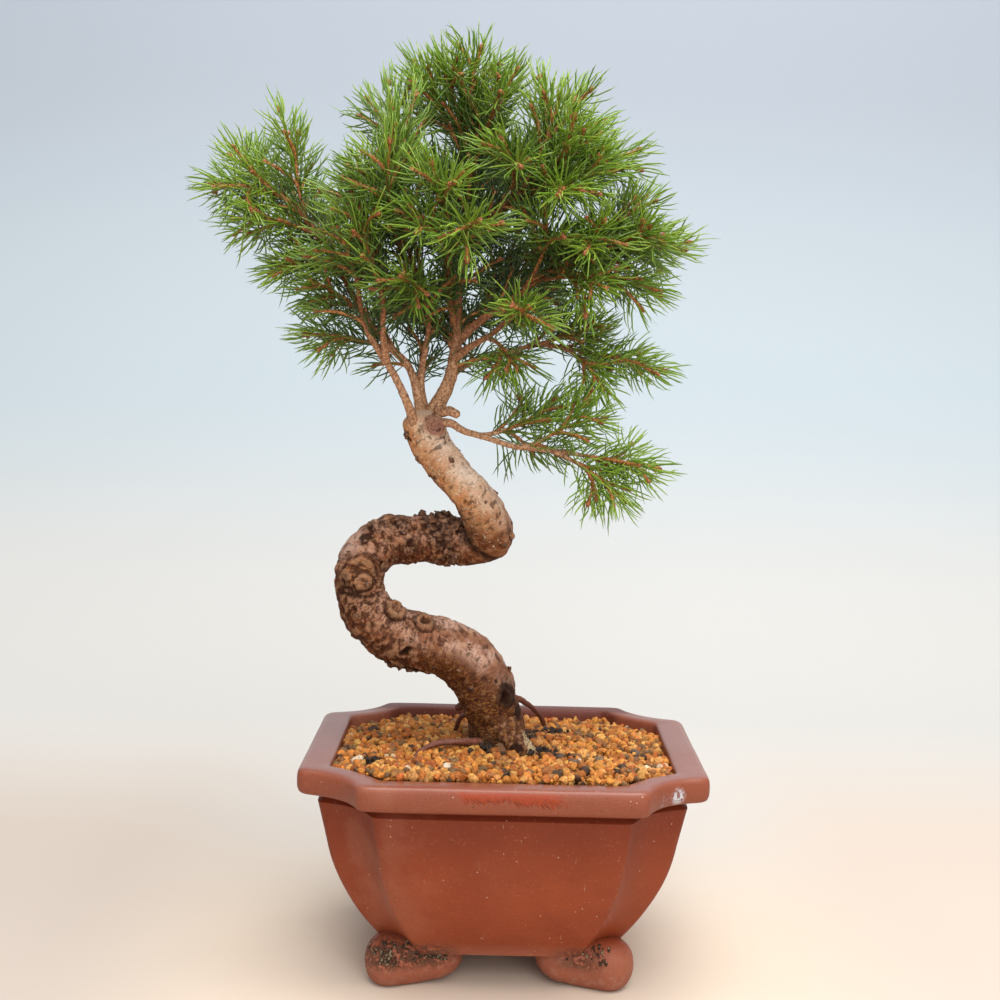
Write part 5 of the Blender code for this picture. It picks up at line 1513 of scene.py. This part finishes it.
def hanging_needles(path, begin, end, count, draw):
    """Roots, directions and lengths of single needles left on the underside of a limb."""
    steps = lengths_along(path)
    distance = np.sort(draw.uniform(begin, end, count))
    roots = np.column_stack([np.interp(distance, steps, path[:, axis]) for axis in range(3)])
    ways = draw.normal(0, 0.45, (count, 3)) + (0.0, 0.0, -1.0)
    ways /= np.linalg.norm(ways, axis=1)[:, None]
    inward = np.cross(ways, draw.normal(size=(count, 3)))
    inward /= np.linalg.norm(inward, axis=1)[:, None]
    return roots, ways, inward, needle_length * draw.uniform(0.9, 1.25, count)


needle_rings = len(needle_profile)
needle_faces = ring_faces(needle_rings, needle_sides, capped=False)
needle_tip = needle_rings * needle_sides
last_ring = needle_tip - needle_sides
for corner in range(needle_sides):
    needle_faces.append((last_ring + corner, last_ring + (corner + 1) % needle_sides, needle_tip))
# How far along its needle each point lies.
along_needle = np.array([share for share, _ in needle_profile for _ in range(needle_sides)] + [1.0])

leaf, place, shader = new_finish("spruce_needle", Specular_IOR_Level=0.55)
share, youth_and_light, chance = read_marks(place, "needle")
# Shaded old green and lit young green: the needles' painted light and shade, as well as their age.
old_shaded_green = chance.between((0.010, 0.031, 0.002), (0.031, 0.067, 0.005))
young_lit_green = chance.between((0.125, 0.255, 0.013), (0.275, 0.405, 0.034))
colour = painted(
    youth_and_light.between(old_shaded_green, young_lit_green),
    (share.rise(0.85, 1.0) * 0.4, (0.26, 0.26, 0.06)),
    (share.rise(0.12, 0.0) * 0.6, (0.23, 0.18, 0.05)),
)
place.feed(shader.inputs["Base Color"], colour)
place.feed(shader.inputs["Roughness"], 0.62 - youth_and_light * 0.28)

shoot_bark, place, shader = new_finish("shoot_bark", Roughness=0.65)
ridge = place.clouds(0.9, 3, 0.6)
colour = ridge.rise(0.35, 0.65).between((0.24, 0.068, 0.014), (0.56, 0.220, 0.060))
place.feed(shader.inputs["Base Color"], colour)
set_relief(place, shader, ridge, 0.4)

draw = np.random.default_rng(41)
bud_spots = []
for group in groups:
    stacks = []
    marks = []
    stems = []
    nodes = []
    for shoot_group, name, path, youth in shoots:
        if shoot_group != group:
            continue
        if name and "spray_" + name not in nodes:
            nodes.append("spray_" + name)
        radii = np.linspace(shoot_radius, shoot_tip_radius, len(path))
        stem = np.column_stack([path, radii])
        stems.append(tapered_tube(stem, around=7, spacing=1.6, rough=0.16, size=0.9))
        longest = needle_length * (1 - old_shortfall + old_shortfall * youth)
        roots, ways, inward, length, share = needles_along(path, fallen_share * youth, longest, draw)
        bent = needle_curve * draw.uniform(0.3, 1.8, len(roots))
        stacks.append(needle_points(roots, ways, inward, length, bent))
        # Painted light: needles towards the crown's outside are lighter and those inside darker, as shade;
        # young ones are lighter too.
        outward = np.linalg.norm((roots - crown_middle) / crown_half_sizes, axis=1)
        light = 0.35 * youth + 0.65 * step_up(share * 0.4 + outward * 0.8, 0.55, 1.2)
        light = light + draw.uniform(-0.14, 0.14) + (yellow_extra if name == yellow_spray else 0.0)
        row = np.zeros((len(roots), len(along_needle), 3))
        row[:, :, 0] = along_needle
        row[:, :, 1] = np.clip(light + draw.normal(0, 0.1, len(roots)), 0, 1)[:, None]
        row[:, :, 2] = draw.random(len(roots))[:, None]
        marks.append(row.reshape(-1, 3))
        bud_spots.append((path[-1], unit(path[-1] - path[-2]), youth))
    if group == "low":
        carrier = limb_path("lowest", path_spacing)
        roots, ways, inward, length = hanging_needles(carrier, hanging_from, hanging_to, hanging_count, draw)
        bent = needle_curve * draw.uniform(0.2, 0.9, len(roots))
        stacks.append(needle_points(roots, ways, inward, length, bent))
        row = np.array([(share, 0.3, 0.5) for share in along_needle])
        marks.append(np.tile(row, (len(roots), 1)))
    points = np.concatenate(stacks)
    faces = repeat_faces(needle_faces, len(points), len(along_needle))
    coat = make_piece("needles_" + group, points.reshape(-1, 3), faces, leaf, "needles", *nodes)
    set_marks(coat, "needle", np.vstack(marks))
    points, faces = gathered(stems)
    make_piece("shoots_" + group, points, faces, shoot_bark, "bark", *nodes)


# The buds: next year's growth, asleep under red-brown papery scales, one at each shoot's tip and
# up to four more beside it.
bud_length = 3.0
bud_radius = 1.0
# Share of the length, and share of the full radius there.
bud_profile = ((0.0, 0.45), (0.25, 1.0), (0.55, 0.92), (0.8, 0.52), (0.97, 0.15))
bud_sides = 6
scale_lift = 0.14


def bud(root, way, size, draw):
    """Points and faces of a bud: pointed, with its scales standing a little off it."""
    side = unit(np.cross(way, draw.normal(size=3)))
    other = np.cross(way, side)
    points = []
    for row, (share, width) in enumerate(bud_profile):
        for corner in range(bud_sides):
            turn = math.tau * (corner + 0.5 * (row % 2)) / bud_sides
            scale = 1 + scale_lift * ((corner + row) % 2)
            ring = math.cos(turn) * side + math.sin(turn) * other
            points.append(root + size * (bud_length * share * way + bud_radius * width * scale * ring))
    return np.array(points), ring_faces(len(bud_profile), bud_sides)


bud_scale, place, shader = new_finish("bud_scale", Roughness=0.5)
papery = place.clouds(0.5, 3, 0.6)
colour = papery.rise(0.35, 0.65).between((0.19, 0.046, 0.014), (0.52, 0.185, 0.060))
place.feed(shader.inputs["Base Color"], colour)
set_relief(place, shader, papery, 0.3)
draw = np.random.default_rng(8)
buds = []
for tip, way, youth in bud_spots:
    fresh = youth > 0.9
    buds.append(bud(tip - 0.5 * way, way, 1.0 if fresh else 0.8, draw))
    beside = draw.integers(2, 5) if fresh else draw.integers(0, 3)
    for _ in range(beside):
        lean = unit(way + 0.9 * draw.normal(size=3))
        buds.append(bud(tip - 1.2 * way, unit(lean + 0.6 * way), draw.uniform(0.6, 0.85), draw))
points, faces = gathered(buds)
make_piece("buds", points, faces, bud_scale, "bark", "tree_wood")


# The drain meshes: black plastic mesh, cut square and laid over each drain hole inside the pot so
# that the soil stays in.
mesh_plastic, place, shader = new_finish("mesh_plastic", Roughness=0.45)
worn = place.clouds(1.5, 3)
place.feed(shader.inputs["Base Color"], worn.between((0.012, 0.012, 0.014), (0.035, 0.033, 0.032)))
set_relief(place, shader, worn, 0.1)
for name in ("drain_mesh_left", "drain_mesh_right"):
    bpy.data.objects[name].material_slots[0].material = mesh_plastic


# The studio: a sheet that is cream on the floor and pale blue-grey high behind, under a wide soft
# lamp above and another in front, with the sky filling the shadows. Its colour is painted light:
# warmer and brighter on the floor near the pot, darker to the sides and bluer and darker up the back.
sheet_width = 5000.0
sheet_curve = 500.0
sheet_back = 900.0
sheet_top = 1800.0
sheet_front = -1200.0
curve_steps = 24
backdrop, place, shader = new_finish("studio_sheet", Roughness=1.0, Specular_IOR_Level=0.0)
across = place.axis("X")
depth = place.axis("Y")
level = place.axis("Z")
# Painted light on the sheet: a brighter warm pool on the floor in front of the pot, falling off to the sides
# and up the back.
floor_with_painted_light = painted(
    depth.rise(200.0, 0.0).between((0.575, 0.53, 0.485), (0.685, 0.565, 0.452)),
    (across.rise(-70.0, -190.0), (0.51, 0.435, 0.375)),
    (across.rise(80.0, 190.0), (0.575, 0.485, 0.415)),
)
colour = painted(
    depth.rise(430.0, 110.0).between((0.575, 0.555, 0.525), floor_with_painted_light),
    (level.rise(5.0, 225.0), (0.455, 0.515, 0.55)),
    (level.rise(225.0, 590.0), (0.40, 0.44, 0.50)),
)
place.feed(shader.inputs["Base Color"], colour)
profile = [(sheet_front, 0.0)]
for step in range(curve_steps + 1):
    turn = math.radians(90 * step / curve_steps)
    back = sheet_back - sheet_curve + sheet_curve * math.sin(turn)
    profile.append((back, sheet_curve - sheet_curve * math.cos(turn)))
profile.append((sheet_back, sheet_top))
corners = [(side * sheet_width / 2, y, z) for y, z in profile for side in (-1, 1)]
faces = [(row * 2, row * 2 + 1, row * 2 + 3, row * 2 + 2) for row in range(len(profile) - 1)]
mesh = bpy.data.meshes.new("studio_sheet")
mesh.from_pydata((np.array(corners) * 0.001).tolist(), [], faces)
mesh.materials.append(backdrop)
mesh.shade_smooth()
sheet = bpy.data.objects.new("studio_sheet", mesh)
bpy.context.scene.collection.objects.link(sheet)
sheet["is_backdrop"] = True


def lamp(name, spot, target, size, power, tint):
    """A square soft lamp, facing its target."""
    light = bpy.data.lights.new(name, "AREA")
    light.shape = "SQUARE"
    light.size = size
    light.energy = power
    light.color = tint
    thing = bpy.data.objects.new(name, light)
    thing.location = spot
    thing.rotation_euler = (Vector(target) - Vector(spot)).to_track_quat("-Z", "Y").to_euler()
    bpy.context.scene.collection.objects.link(thing)


# Lamp places and sizes are in metres.
lamp_size = 1.2
lit_middle = (pot_middle.x, pot_middle.y, 0.2)
lamp("lamp_above", (0.15, -0.25, 1.4), lit_middle, lamp_size, power=28.0, tint=(1.0, 0.985, 0.96))
lamp("lamp_front", (0.35, -1.6, 0.9), lit_middle, lamp_size, power=19.0, tint=(0.98, 0.99, 1.0))
sky_tint = (0.90, 0.95, 1.0, 1)
sky_strength = 0.47
world = bpy.data.worlds.new("studio")
world.use_nodes = True
sky = world.node_tree.nodes["Background"]
sky.inputs["Color"].default_value = sky_tint
sky.inputs["Strength"].default_value = sky_strength
bpy.context.scene.world = world
bpy.context.scene.view_settings.view_transform = "Standard"


# The camera stands in front of the pot at the photograph's height and distance, looks down a
# little, and is rolled by about a degree. Its angles are in radians and its lens in millimetres.
camera_spot = (-3.586, -593.8, 238.2)
camera_dip = 0.0913
camera_roll = 0.0229
focal_length = 54.35
sensor_width = 36.0
nearest = 0.01
lens = bpy.data.cameras.new("camera")
lens.lens = focal_length
lens.sensor_width = sensor_width
lens.clip_start = nearest
camera = bpy.data.objects.new("camera", lens)
stand = Matrix.Translation(Vector(camera_spot) * 0.001 + Vector((pot_middle.x, pot_middle.y, 0)))
dip = Matrix.Rotation(math.pi / 2 - camera_dip, 4, "X")
camera.matrix_world = stand @ dip @ Matrix.Rotation(camera_roll, 4, "Z")
bpy.context.scene.collection.objects.link(camera)
bpy.context.scene.camera = camera

sizes = {"cad": [list(corner) for corner in cad_bounds], "visual": [list(corner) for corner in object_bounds()]}
